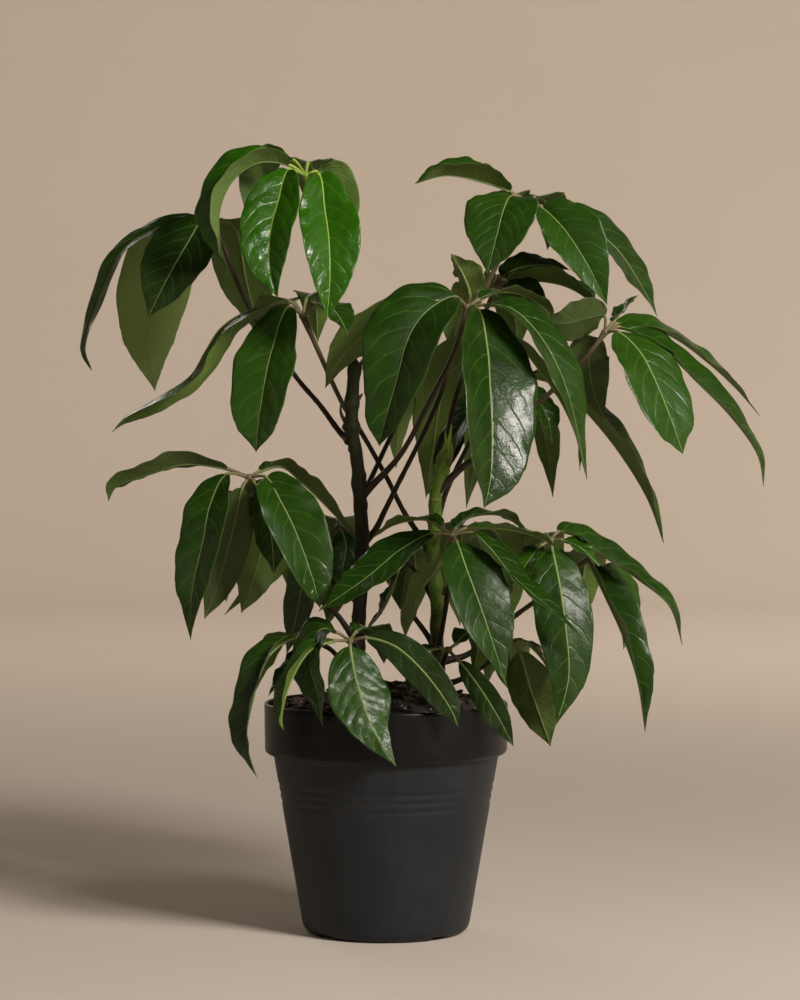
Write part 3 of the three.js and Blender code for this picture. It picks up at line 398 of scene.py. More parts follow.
def ball(rings: int, around: int, low: float, high: float) -> np.ndarray:
    """A unit ball as rings of points (sin p cos a, sin p sin a, cos p), p from low to high in half turns."""
    polar = (np.linspace(low, high, rings) * pi)[:, None]
    turn = round_turn(around)
    return vectors_of(np.sin(polar) * np.cos(turn), np.sin(polar) * np.sin(turn), np.cos(polar))


def chance(seed: float) -> float:
    """A number from 0 to 1 for each seed: the fraction of sin(127.1 seed + 311.7) * 43758.5453."""
    wave = sin(seed * 127.1 + 311.7) * 43758.5453
    return wave - np.floor(wave)


def smooth(value: np.ndarray, low: float, high: float) -> np.ndarray:
    """The smooth step 3t^2 - 2t^3, with t from 0 at low to 1 at high."""
    t = np.clip((value - low) / (high - low), 0, 1)
    return t * t * (3 - 2 * t)


def swell(value: np.ndarray, place: float, spread: float) -> np.ndarray:
    """The bell exp(-((value - place) / spread)^2)."""
    return np.exp(-(((value - place) / spread) ** 2))


def grain(points: np.ndarray, size: float, seed: int) -> np.ndarray:
    """A smooth random field of points: 1.9 times the mean of seven sines of (k . p) along drawn directions k.

    Args:
        points: rows of places, in metres.
        size: the length of a wave, in metres.
        seed: what draws the directions and phases.

    Returns:
        One number for each point, mostly between -1 and 1.
    """
    waves = 7
    draw = np.random.default_rng(seed)
    directions = unit(draw.normal(size=(waves, 3))) * (tau / size) * draw.uniform(0.7, 1.5, (waves, 1))
    phases = draw.uniform(0, tau, waves)
    return np.sin(points @ directions.T + phases).mean(axis=-1) * 1.9


class Spline:
    """A centripetal Catmull-Rom curve through points, in metres.

    Between two points it is x1 + t1 w + (3 (x2 - x1) - 2 t1 - t2) w^2 + (2 (x1 - x2) + t1 + t2) w^3, with w
    from 0 to 1 and slopes t1 and t2 from knots a root of the distance apart.
    """

    def __init__(self, points: np.ndarray) -> None:
        """Works out each segment's cubic.

        Args:
            points: rows of (x, y, z).
        """
        points = np.asarray(points, float)
        ends = np.vstack([2 * points[0] - points[1], points, 2 * points[-1] - points[-2]])
        step = np.sqrt(np.linalg.norm(np.diff(ends, axis=0), axis=1))[:, None]
        slope = np.diff(ends, axis=0) / step
        wide = (ends[2:] - ends[:-2]) / (step[:-1] + step[1:])
        tangent = slope[:-1] - wide + slope[1:]
        x1, x2 = points[:-1], points[1:]
        t1, t2 = tangent[:-1] * step[1:-1], tangent[1:] * step[1:-1]
        self.cubic = np.stack([x1, t1, 3 * (x2 - x1) - 2 * t1 - t2, 2 * (x1 - x2) + t1 + t2])
        self.segments = len(points) - 1

    def _split(self, share: np.ndarray) -> tuple[np.ndarray, np.ndarray]:
        """The segment of each share of the way, and how far along it that is."""
        place = np.clip(np.asarray(share, float), 0, 1) * self.segments
        segment = np.minimum(place.astype(int), self.segments - 1)
        return segment, (place - segment)[:, None]

    def at(self, share: np.ndarray) -> np.ndarray:
        """The points at shares of the way."""
        segment, w = self._split(share)
        c0, c1, c2, c3 = self.cubic[:, segment]
        return c0 + w * (c1 + w * (c2 + w * c3))

    def along(self, share: np.ndarray) -> np.ndarray:
        """The directions at shares of the way."""
        segment, w = self._split(share)
        _, c1, c2, c3 = self.cubic[:, segment]
        return unit(c1 + w * (2 * c2 + w * 3 * c3))

    def length(self) -> float:
        """The length of the whole curve."""
        return float(np.linalg.norm(np.diff(self.at(np.linspace(0, 1, 200)), axis=0), axis=1).sum())


@dataclass
class Shell:
    """A closed surface: vertices, quads, triangles, vector marks on the vertices, and the finish it takes."""

    points: np.ndarray
    quads: np.ndarray
    triangles: np.ndarray
    marks: dict[str, np.ndarray] = field(default_factory=dict)
    finish: int = 0

    def volume(self) -> float:
        """The signed volume, positive if the faces point outwards."""
        quads, corners = self.quads, self.points
        faces = np.vstack([quads[:, [0, 1, 2]], quads[:, [0, 2, 3]], self.triangles])
        a, b, c = corners[faces[:, 0]], corners[faces[:, 1]], corners[faces[:, 2]]
        return float((np.cross(a, b) * c).sum() / 6)

    def outward(self) -> Shell:
        """The same surface with its faces turned to point outwards."""
        if self.volume() < 0:
            self.quads = self.quads[:, ::-1]
            self.triangles = self.triangles[:, ::-1]
        return self


def closed(rings: np.ndarray, marks: dict[str, np.ndarray] | None = None, finish: int = 0) -> Shell:
    """Joins rings of points into a closed surface, with a fan at each end.

    Vertex (i, j) is point j of ring i, and quad (i, j) joins rings i and i + 1 between points j and j + 1.

    Args:
        rings: points as (rings, around, 3).
        marks: vectors as (rings, around, 3) by name.
        finish: the index of the finish.

    Returns:
        The surface, its faces outwards.
    """
    count, around, _ = rings.shape
    numbers = np.arange(count * around).reshape(count, around)
    right = np.roll(numbers, -1, axis=1)
    quads = np.stack([numbers[:-1], right[:-1], right[1:], numbers[1:]], axis=-1).reshape(-1, 4)
    first, last = count * around, count * around + 1
    start = vectors_of(first, right[0], numbers[0])
    end = vectors_of(last, numbers[-1], right[-1])

    def with_ends(values: np.ndarray) -> np.ndarray:
        """The values of all rings, then the mean of the first ring and of the last."""
        return np.vstack([values.reshape(-1, 3), values[0].mean(axis=0), values[-1].mean(axis=0)])

    made = {name: with_ends(values) for name, values in (marks or {}).items()}
    return Shell(with_ends(rings), quads, np.vstack([start, end]), made, finish).outward()


def frames_along(tangents: np.ndarray) -> tuple[np.ndarray, np.ndarray]:
    """Two directions across a path that don't twist along it.

    The first is the last one's part square to the tangent; the second is tangent x first.

    Args:
        tangents: rows of directions along the path.

    Returns:
        The two directions at each station.
    """
    start = [0.31, 0.92, 0.24]  # along none of the paths
    across = [unit(np.cross(tangents[0], start)[None])[0]]
    for tangent in tangents[1:]:
        carried = across[-1] - tangent * (across[-1] @ tangent)
        across.append(carried / np.linalg.norm(carried))
    first = np.array(across)
    return first, np.cross(tangents, first)


def tube(
    centres: np.ndarray, tangents: np.ndarray, radii: np.ndarray, sides: int,
    share: np.ndarray, shade: np.ndarray, finish: int = 0,
) -> Shell:
    """A round bar along a path: centre + radius * (first cos a + second sin a).

    Args:
        centres: the path's points.
        tangents: its directions.
        radii: one radius for each point, or one for each point and side.
        sides: points around.
        share: how far along each point is, which the finish reads.
        shade: a second number for each point that the finish reads.
        finish: the index of the finish.

    Returns:
        The closed surface, with marks "stalk" of (share, sin of half the turn, shade).
    """
    first, second = frames_along(tangents)
    turn = round_turn(sides)
    radii = radii[:, None] if radii.ndim == 1 else radii
    ring = first[:, None] * np.cos(turn)[None, :, None] + second[:, None] * np.sin(turn)[None, :, None]
    rings = centres[:, None] + ring * (radii * np.ones(sides))[..., None]
    return closed(rings, {"stalk": vectors_of(share[:, None], np.sin(turn / 2), shade[:, None])}, finish)


def piece(name: str, shells: list[Shell], finishes: list[bpy.types.Material]) -> bpy.types.Object:
    """Puts surfaces into one mesh object at the origin.

    Args:
        name: the name of the piece.
        shells: its surfaces.
        finishes: its materials, in the order the surfaces number them.

    Returns:
        The object.
    """
    offsets = np.cumsum([0] + [len(s.points) for s in shells[:-1]])
    points = np.vstack([s.points for s in shells])
    quads = np.vstack([s.quads + o for s, o in zip(shells, offsets)])
    triangles = np.vstack([s.triangles + o for s, o in zip(shells, offsets)])
    corners = np.concatenate([quads.ravel(), triangles.ravel()])
    starts = np.concatenate([np.arange(len(quads)) * 4, len(quads) * 4 + np.arange(len(triangles)) * 3])
    slots = [np.full(len(s.quads), s.finish) for s in shells]
    slots += [np.full(len(s.triangles), s.finish) for s in shells]
    mesh = bpy.data.meshes.new(name)
    for layer, count, key, values in (
        (mesh.vertices, len(points), "co", points.astype(np.float32).ravel()),
        (mesh.loops, len(corners), "vertex_index", corners.astype(np.int32)),
        (mesh.polygons, len(starts), "loop_start", starts.astype(np.int32)),
    ):
        layer.add(count)
        layer.foreach_set(key, values)
    mesh.polygons.foreach_set("use_smooth", np.ones(len(starts), bool))
    mesh.polygons.foreach_set("material_index", np.concatenate(slots).astype(np.int32))
    for mark in sorted({mark for s in shells for mark in s.marks}):
        values = np.vstack([s.marks.get(mark, np.zeros_like(s.points)) for s in shells])
        layer = mesh.attributes.new(mark, "FLOAT_VECTOR", "POINT")
        layer.data.foreach_set("vector", values.astype(np.float32).ravel())
    mesh.update(calc_edges=True)
    mesh.validate()
    for finish in finishes:
        mesh.materials.append(finish)
    made = bpy.data.objects.new(name, mesh)
    bpy.context.scene.collection.objects.link(made)
    return made


# ---------------------------------------------------------------- shader recipes


def paint(code: str) -> Colour:
    """The linear colour of a six-digit sRGB code: ((c + 0.055) / 1.055)^2.4 for each channel."""
    channels = [int(code[i : i + 2], 16) / 255 for i in (0, 2, 4)]
    linear = [((c + 0.055) / 1.055) ** 2.4 if c > 0.04045 else c / 12.92 for c in channels]
    return (*linear, 1.0)


class Signal:
    """A number socket that takes part in Python arithmetic: each operator adds one Math node."""

    def __init__(self, recipe: Recipe, socket: bpy.types.NodeSocket) -> None:
        """Wraps an output socket of the recipe's tree."""
        self.recipe, self.socket = recipe, socket

    def _with(self, operation: str, *values: Signal | float) -> Signal:
        """The result of a Math node on values."""
        node = self.recipe.node("ShaderNodeMath", {"operation": operation}, dict(enumerate(values)))
        return Signal(self.recipe, node.outputs[0])

    def __add__(self, other: Signal | float) -> Signal:
        """self + other."""
        return self._with("ADD", self, other)

    def __sub__(self, other: Signal | float) -> Signal:
        """self - other."""
        return self._with("SUBTRACT", self, other)

    def __rsub__(self, other: Signal | float) -> Signal:
        """other - self."""
        return self._with("SUBTRACT", other, self)

    def __mul__(self, other: Signal | float) -> Signal:
        """self * other."""
        return self._with("MULTIPLY", self, other)

    def __truediv__(self, other: Signal | float) -> Signal:
        """self / other."""
        return self._with("DIVIDE", self, other)

    __radd__ = __add__
    __rmul__ = __mul__

    def size(self) -> Signal:
        """The absolute value."""
        return self._with("ABSOLUTE", self)

    def from_whole(self) -> Signal:
        """How far the value is from the nearest whole number: |fraction(value + 0.5) - 0.5|."""
        return (self._with("FRACT", self + 0.5) - 0.5).size()

    def between(self, low: float, high: float) -> Signal:
        """The smooth step from 0 at low to 1 at high; with low over high it falls."""
        ends = {1: low, 2: high} if low <= high else {1: high, 2: low, 3: 1.0, 4: 0.0}
        node = self.recipe.node("ShaderNodeMapRange", {"interpolation_type": "SMOOTHSTEP"}, {0: self, **ends})
        return Signal(self.recipe, node.outputs[0])


Value = Signal | bpy.types.NodeSocket | float | tuple | str


class Recipe:
    """The node tree of one material, with one method that adds any node."""

    def __init__(self, name: str) -> None:
        """Starts an empty tree with Object coordinates.

        Args:
            name: the material's name.
        """
        self.material = bpy.data.materials.new(name)
        self.material.use_nodes = True
        self.tree = self.material.node_tree
        self.tree.nodes.clear()
        self.place = self.node("ShaderNodeTexCoord").outputs["Object"]

    def node(self, kind: str, settings: dict | None = None, sockets: dict | None = None) -> bpy.types.Node:
        """Adds a node.

        Args:
            kind: its type.
            settings: its own properties, set first.
            sockets: a value, a colour's code or a link for each input, by name or number.

        Returns:
            The node.
        """
        made = self.tree.nodes.new(kind)
        for key, value in (settings or {}).items():
            setattr(made, key, value)
        for key, value in (sockets or {}).items():
            value = value.socket if isinstance(value, Signal) else value
            if isinstance(value, bpy.types.NodeSocket):
                self.tree.links.new(value, made.inputs[key])
            else:
                made.inputs[key].default_value = paint(value) if isinstance(value, str) else value
        return made

    def parts(self, vector: bpy.types.NodeSocket) -> tuple[Signal, ...]:
        """The three numbers of a vector."""
        apart = self.node("ShaderNodeSeparateXYZ", None, {0: vector})
        return tuple(Signal(self, socket) for socket in apart.outputs)

    def marks(self, name: str) -> tuple[Signal, ...]:
        """The three numbers of a vector mark on the mesh."""
        return self.parts(self.node("ShaderNodeAttribute", {"attribute_name": name}).outputs["Vector"])

    def stretched(self, scale: Point | None) -> bpy.types.NodeSocket:
        """Object coordinates, multiplied by a scale on each axis if there is one."""
        if scale is None:
            return self.place
        return self.node("ShaderNodeMapping", None, {"Vector": self.place, "Scale": scale}).outputs[0]

    def noise(
        self, scale: float, detail: float = 3.0, rough: float = 0.55, stretch: Point | None = None,
    ) -> Signal:
        """Noise from 0 to 1 with so many waves a metre."""
        sockets = {"Vector": self.stretched(stretch), "Scale": scale, "Detail": detail, "Roughness": rough}
        return Signal(self, self.node("ShaderNodeTexNoise", None, sockets).outputs[0])

    def cells(self, scale: float, feature: str = "F1", stretch: Point | None = None) -> Signal:
        """The distance of a Voronoi pattern's feature."""
        sockets = {"Vector": self.stretched(stretch), "Scale": scale}
        made = self.node("ShaderNodeTexVoronoi", {"feature": feature}, sockets)
        return Signal(self, made.outputs["Distance"])

    def blend(self, factor: Value, low: Value, high: Value) -> bpy.types.NodeSocket:
        """The colour low where factor is 0 and high where it is 1."""
        return self.node("ShaderNodeMix", {"data_type": "RGBA"}, {0: factor, 6: low, 7: high}).outputs[2]

    def surface(
        self, colour: Value, rough: Value, height: Value, relief: float, strength: float, specular: float,
    ) -> bpy.types.Material:
        """Ends the tree in a Principled shader with a bumped normal.

        Args:
            colour: the base colour.
            rough: the roughness.
            height: the bump's height, where 1 stands for the relief.
            relief: that height in millimetres.
            strength: how strongly the bump turns the normal.
            specular: the level of mirror reflection, 0.5 for a common plastic.

        Returns:
            The material.
        """
        sockets = {"Strength": strength, "Distance": relief * MM, "Height": height}
        normal = self.node("ShaderNodeBump", None, sockets).outputs[0]
        sockets = {"Base Color": colour, "Roughness": rough, "Normal": normal, "Specular IOR Level": specular}
        shader = self.node("ShaderNodeBsdfPrincipled", None, sockets)
        self.node("ShaderNodeOutputMaterial", None, {"Surface": shader.outputs[0]})
        return self.material


@dataclass(frozen=True)
class BladeFinish:
    """The skin of a leaf blade: waxy and veined above, matt and olive beneath.

    It reads the marks "blade" (millimetres along, millimetres across, lane from -1 to 1), "look" (1 beneath
    or 0 above, tint from 0 to 1, vein spacing in millimetres) and "trait" (dullness, midrib stoutness,
    painted light and shade).
    Lengths here are in millimetres.
    """

    name: str
    top: str
    top_deep: str
    vein: str
    rib: str
    under: str
    under_vein: str
    gloss: float
    relief: float
    vein_share: float
    pucker: float
    crease: float
    # the colour of painted shade, which a leaflet's mark below 0 blends towards
    dark: str = "0b1204"
    vein_half: float = 0.45
    minor_half: float = 0.3
    halo_half: float = 2.6
    groove_half: float = 1.7
    rib_half: float = 0.85
    rib_taper: float = 0.003
    specular: float = 0.34

    def make(self) -> bpy.types.Material:
        """Builds the material.

        A point's phase counts the side veins before it, (along - reach) / spacing, and is whole on a vein.

        Returns:
            The material.
        """
        r = Recipe(self.name)
        along, across, lane = r.marks("blade")
        beneath, tint, spacing = r.marks("look")
        dull, stout, tone = r.marks("trait")
        drift = r.noise(90, 2) - 0.5
        off = across.size()
        right = (across + 1000).between(999.99, 1000.01)
        reach = off * VEIN_LEAN + off * lane.size() * lane.size() * VEIN_BEND
        phase = (along - reach) / spacing + right * VEIN_SHIFT + drift * 0.35
        near = phase.from_whole() * spacing
        fade = lane.size().between(0.97, 0.55)
        vein = near.between(self.vein_half, 0.1) * fade * self.vein_share
        halo = near.between(self.halo_half, 0.3) * fade
        groove = near.between(self.groove_half, 0.0) * fade
        near_minor = (phase * 2).from_whole() * spacing * 0.5
        minor = near_minor.between(self.minor_half, 0.1) * fade * self.vein_share * 0.3
        rib = (off / stout + along * self.rib_taper + drift * 0.2).between(self.rib_half, 0.35)
        rib = rib * (along * -0.0028 + 1).between(0, 1)
        margin = lane.size().between(0.955, 0.995)
        net = r.cells(620, "DISTANCE_TO_EDGE").between(0.10, 0.02)
        mottle = r.noise(38, 4, 0.6)
        fine = r.noise(900, 2)
        pucker = r.noise(self.pucker, 3, 0.55)
        crease = (r.noise(75, 3, 0.6) - 0.5).size().between(0.0, 0.06)

        deep = (mottle * 0.9 + tint * 0.55 + drift * 0.3).between(0.3, 1.1)
        upper = r.blend(deep, self.top_deep, self.top)
        for share in (halo * 0.11 + net * 0.05, vein + minor, margin * 0.3):
            upper = r.blend(share, upper, self.vein)
        lower = r.blend(mottle * 0.35 + tint * 0.3, self.under, self.under_vein)
        lower = r.blend((vein * 0.7 + net * 0.16), lower, self.under_vein)
        colour = r.blend(beneath.between(0.3, 0.7), upper, lower)
        # painted shade towards dark and painted light towards under_vein, by each leaflet's mark
        colour = r.blend(tone.between(0, -1), colour, self.dark)
        colour = r.blend(tone.between(0, 1), colour, self.under_vein)
        colour = r.blend(rib, colour, self.rib)
        height = pucker * 0.62 + crease * self.crease - groove * 0.4 - vein * 0.2 - net * 0.07 + fine * 0.09
        rough = beneath * 0.34 + r.noise(60, 3) * 0.14 + fine * 0.05 + dull + (self.gloss - 0.1)
        return r.surface(colour, rough, height, self.relief, 0.7, self.specular)


@dataclass(frozen=True)
class StalkFinish:
    """The skin of stalks and small leaf stalks, which reads "stalk" (share to the hub, turn, paleness)."""

    name: str
    low: str
    high: str
    pale: str

    def make(self) -> bpy.types.Material:
        """Builds the material: streaks along the stalk, a paler hub end and pale flecks."""
        r = Recipe(self.name)
        share, turn, paleness = r.marks("stalk")
        streak = r.noise(420, stretch=(1, 1, 0.12))
        fleck = r.cells(700).between(0.22, 0.1)
        colour = r.blend((share + (streak - 0.5) * 0.4).between(0.6, 1.05), self.low, self.high)
        colour = r.blend(paleness * (streak * 0.5 + 0.6), colour, self.pale)
        colour = r.blend(fleck * 0.25, colour, self.pale)
        height = streak * 0.7 + turn * 0.02 + fleck * 0.3
        return r.surface(colour, streak * 0.2 + 0.38, height, 0.25, 0.6, 0.3)


@dataclass(frozen=True)
class BarkFinish:
    """The bark of a stem, which reads "stalk" (share to the top, turn, scar from 0 to 1)."""

    name: str
    foot: str
    top: str
    crack: str
    cork: str
    green_from: float
    green_to: float

    def make(self) -> bpy.types.Material:
        """Builds the material: cork patches, long cracks, warts and pale leaf scars."""
        r = Recipe(self.name)
        share, turn, scar = r.marks("stalk")
        patch = r.noise(85, 4, 0.65)
        fissure = r.noise(330, 4, 0.7, (1, 1, 0.16))
        crack = (fissure - 0.5).size().between(0.035, 0.0)
        wart = r.cells(260, stretch=(1, 1, 0.7)).between(0.2, 0.08)
        grown = (share + (patch - 0.5) * 0.9).between(self.green_from, self.green_to)
        colour = r.blend(grown, self.foot, self.top)
        colour = r.blend(patch.between(0.56, 0.75) * 0.5, colour, self.cork)
        colour = r.blend(wart * 0.45, colour, self.cork)
        colour = r.blend(crack * 0.7, colour, self.crack)
        colour = r.blend(scar * (fissure * 0.5 + 0.5), colour, self.cork)
        height = fissure * 0.6 + (1 - crack) * 0.25 + wart * 0.3 + turn * 0.01
        return r.surface(colour, patch * 0.25 + 0.45, height, 0.5, 0.8, 0.3)


@dataclass(frozen=True)
class PlasticFinish:
    """Injection-moulded charcoal plastic: a fine spark-eroded skin with rub marks and a little dust."""

    name: str
    base: str
    # painted shade: a darker colour over the collar, where the leaves shade it
    collar_painted_shade: str
    dust: str
    collar: float = 0.181

    def make(self) -> bpy.types.Material:
        """Builds the material: glossier over the collar's height, which is in metres, and darker there with
        painted shade.
        """
        r = Recipe(self.name)
        skin = r.noise(2600, 2)
        cloud = r.noise(14, 4, 0.6)
        rub = r.noise(60, 5, 0.7, (1, 1, 0.35))
        specks = r.cells(330).between(0.09, 0.03) * rub.between(0.5, 0.62)
        scuffs = r.noise(240, 3, 0.6, (0.25, 0.25, 2.2)).between(0.66, 0.74)
        film = (cloud * 0.7 + rub * 0.5).between(0.45, 0.85)
        high = r.parts(r.place)[2].between(self.collar - 0.002, self.collar + 0.002)
        # painted shade over the collar's height
        shade = r.blend(high, self.base, self.collar_painted_shade)
        colour = r.blend(film * 0.05 + scuffs * 0.06 + specks * 0.3, shade, self.dust)
        height = skin * 0.5 + rub * 0.4 + scuffs * 0.2
        rough = film * 0.12 + skin * 0.08 - high * 0.12 + 0.38 - scuffs * 0.05
        return r.surface(colour, rough, height, 0.12, 0.5, 0.2)


@dataclass(frozen=True)
class EarthFinish:
    """Crumbly matt stuff such as potting soil, bark chips or perlite, with so many crumbs a metre."""

    name: str
    dark: str
    light: str
    scale: float
    rough: float = 0.9

    def make(self) -> bpy.types.Material:
        """Builds the material: crumbs and finer grit."""
        r = Recipe(self.name)
        crumb = r.noise(self.scale, 5, 0.7)
        grit = r.cells(self.scale * 2.2)
        colour = r.blend((crumb * 1.2 - grit * 0.3).between(0.25, 0.85), self.dark, self.light)
        return r.surface(colour, crumb * 0.1 + (self.rough - 0.08), crumb * 0.7 - grit * 0.3, 0.8, 0.9, 0.5)


@dataclass(frozen=True)
class FloorFinish:
    """Plain matt studio paper."""

    name: str
    base: str
    shade: str

    def make(self) -> bpy.types.Material:
        """Builds the material: a faint cloud of shade."""
        r = Recipe(self.name)
        cloud = r.noise(1.4)
        colour = r.blend(cloud * 0.5, self.base, self.shade)
        return r.surface(colour, cloud * 0.1 + 0.8, r.noise(500), 0.1, 0.3, 0.2)


BLADES = {
    Age.YOUNG: BladeFinish(
        "young_blade", "2a5a04", "183a03", "4a8020", "8fae48", "4a6626", "6f8a48",
        gloss=0.06, relief=1.1, vein_share=0.46, pucker=150.0, crease=0.16),
    Age.GROWN: BladeFinish(
        "grown_blade", "284a0b", "162e05", "4f6f30", "7b8e50", "485f20", "6e8440",
        gloss=0.21, relief=0.85, vein_share=0.38, pucker=120.0, crease=0.12),
    Age.SHADED: BladeFinish(
        "shaded_blade", "244309", "142a05", "4a662a", "73844c", "485f1e", "6a803a",
        gloss=0.25, relief=1.0, vein_share=0.36, pucker=120.0, crease=0.12),
}
STALKS = {
    Age.YOUNG: StalkFinish("young_stalk", "372f1c", "74902f", "a2be4a"),
    Age.GROWN: StalkFinish("grown_stalk", "2b2312", "5e5038", "86845a"),
    Age.SHADED: StalkFinish("shaded_stalk", "2a2312", "544c2e", "767846"),
}
BARKS = {
    "left": BarkFinish("brown_bark", "20180c", "2a2f10", "0c0906", "463c24", 0.15, 0.9),
    "right": BarkFinish("green_bark", "36370f", "64862a", "1f1d0a", "8a9048", 0.05, 0.55),
}
EARTHS = (
    EarthFinish("damp_soil", "120d09", "3a2b1e", 420),
    EarthFinish("bark_chip", "2a1b10", "6b4a2f", 260, 0.8),
    EarthFinish("soil_crumb", "1a120c", "4a3626", 500),
    EarthFinish("perlite", "8f8778", "cfc8ba", 600, 0.85),
)
PLASTIC = PlasticFinish("charcoal_plastic", "212427", "09090b", "6c6d70")
PAPER = FloorFinish("studio_paper", "d0c6ba", "c9beb1")


# ---------------------------------------------------------------- pot and soil


def shifted(rows: tuple[Pair, ...], radius: float, height: float) -> list[Pair]:
    """The (radius, height) steps of a profile, counted from a place on it."""
    return [(radius + out, height + up) for out, up in rows]


@dataclass
class Pot:
    """The nursery pot, with its sizes in millimetres; a turn of its profile is a list of (out, up) steps."""

    height: float = 230
    collar_radius: float = 122
    collar_height: float = 51
    shoulder_radius: float = 113
    foot_radius: float = 84.5
    foot_height: float = 12
    flat_radius: float = 72
    wall: float = 2.6
    lip: float = 0.6
    floor: float = 3
    ribs: tuple[float, ...] = (131.5, 140, 148)
    rib_depth: float = 0.9
    rib_half: float = 2.3
    notches: int = 4
    notch_turn: float = 41
    notch_half: float = 9
    notch_height: float = 3.6
    notch_from: float = 75.1
    notch_middle: float = 80
    outer_rows: int = 20  # of the profile, which a notch may lift
    sides: int = 288
    wall_rows: int = 110
    underside: tuple[Pair, ...] = ((12, 0.9), (40, 0.6), (64, 0.15), (72, 0), (75.2, 0.1), (75.6, 0.15))
    foot_turn: tuple[Pair, ...] = (
        (77.2, 0.7), (79.2, 1.8), (80.9, 3.3), (82.2, 5), (83.2, 7.2), (84, 9.6), (84.4, 11.4))
    shoulder_turn: tuple[Pair, ...] = (
        (-0.5, -3), (0.1, -1.2), (1.4, -0.2), (3.5, 0.2), (5.6, 0.6), (7.2, 1.7), (8.1, 3.4), (8.4, 6))
    collar_lean: float = 0.5
    lip_turn: tuple[Pair, ...] = ((0, -4), (0, -2.6), (-0.3, -1.2), (-0.9, -0.3), (-1.6, 0))
    inner_lip: tuple[Pair, ...] = ((0.6, 0), (0.1, -0.5), (0, -1.6), (0, -12))
    inner_shoulder: tuple[Pair, ...] = ((0, 8), (-0.4, 4))

    @property
    def shoulder(self) -> float:
        """The height at which the collar starts."""
        return self.height - self.collar_height

    @property
    def inside(self) -> float:
        """The inner radius of the collar."""
        return self.collar_radius - self.wall - self.lip

    def wall_radius(self, height: np.ndarray) -> np.ndarray:
        """The outer wall's radius: a straight line from foot to shoulder, less a bell at each ring."""
        share = (height - self.foot_height) / (self.height - self.collar_height - self.foot_height)
        radius = self.foot_radius + (self.shoulder_radius - self.foot_radius) * share
        for rib in self.ribs:
            radius = radius - self.rib_depth * swell(height, rib, self.rib_half)
        return radius

    def profile(self) -> np.ndarray:
        """The section as rows of (radius, height), from the underside round the lip to the inner floor."""
        top, shoulder = self.shoulder_radius, self.shoulder
        heights = np.linspace(self.foot_height + 1, shoulder - 4, self.wall_rows)
        rows = [*self.underside, *self.foot_turn, *zip(self.wall_radius(heights), heights)]
        rows += shifted(self.shoulder_turn, top, shoulder)
        out, up = self.shoulder_turn[-1]
        climb = self.collar_height - 2 * up
        for share in (0.2, 0.4, 0.6, 0.8, 1):
            rows.append((top + out + self.collar_lean * share, shoulder + up + climb * share))
        rows += shifted(self.lip_turn, self.collar_radius, self.height)
        rows += shifted(self.inner_lip, self.inside, self.height)
        rows += shifted(self.inner_shoulder, self.inside, shoulder)
        rows += [(top - self.wall + 1, shoulder), (top - self.wall, shoulder - 3)]
        rows += [(self.foot_radius - self.wall, self.foot_height), (self.flat_radius + 2, self.floor)]
        rows += [(10.0, self.floor)]
        return np.array(rows)

    def build(self) -> Shell:
        """Turns the profile about the axis, and lifts the foot to the notch height at each drain notch.

        Point (i, j) is (r_i sin a_j, -r_i cos a_j, z_i); below a notch z is the larger of z_i and the notch.

        Returns:
            The closed surface.
        """
        profile = self.profile()
        turn = round_turn(self.sides)
        radius = np.broadcast_to(profile[:, :1], (len(profile), self.sides))
        height = np.broadcast_to(profile[:, 1:], radius.shape)
        notch = np.zeros(self.sides)
        for number in range(self.notches):
            centre = radians(self.notch_turn - 90 + 360 * number / self.notches)
            away = (np.arctan2(-np.cos(turn), np.sin(turn)) - centre + pi) % tau - pi
            reach = np.abs(away) * self.notch_middle
            notch = np.maximum(notch, 1 - smooth(reach, self.notch_half - 0.5, self.notch_half + 0.7))
        outer = np.arange(len(profile)) < self.outer_rows
        cut = (radius > self.notch_from) & (height < self.notch_height) & outer[:, None]
        height = np.where(cut, height + (self.notch_height - height) * notch[None], height)
        return closed(vectors_of(radius * np.sin(turn), -radius * np.cos(turn), height) * MM)


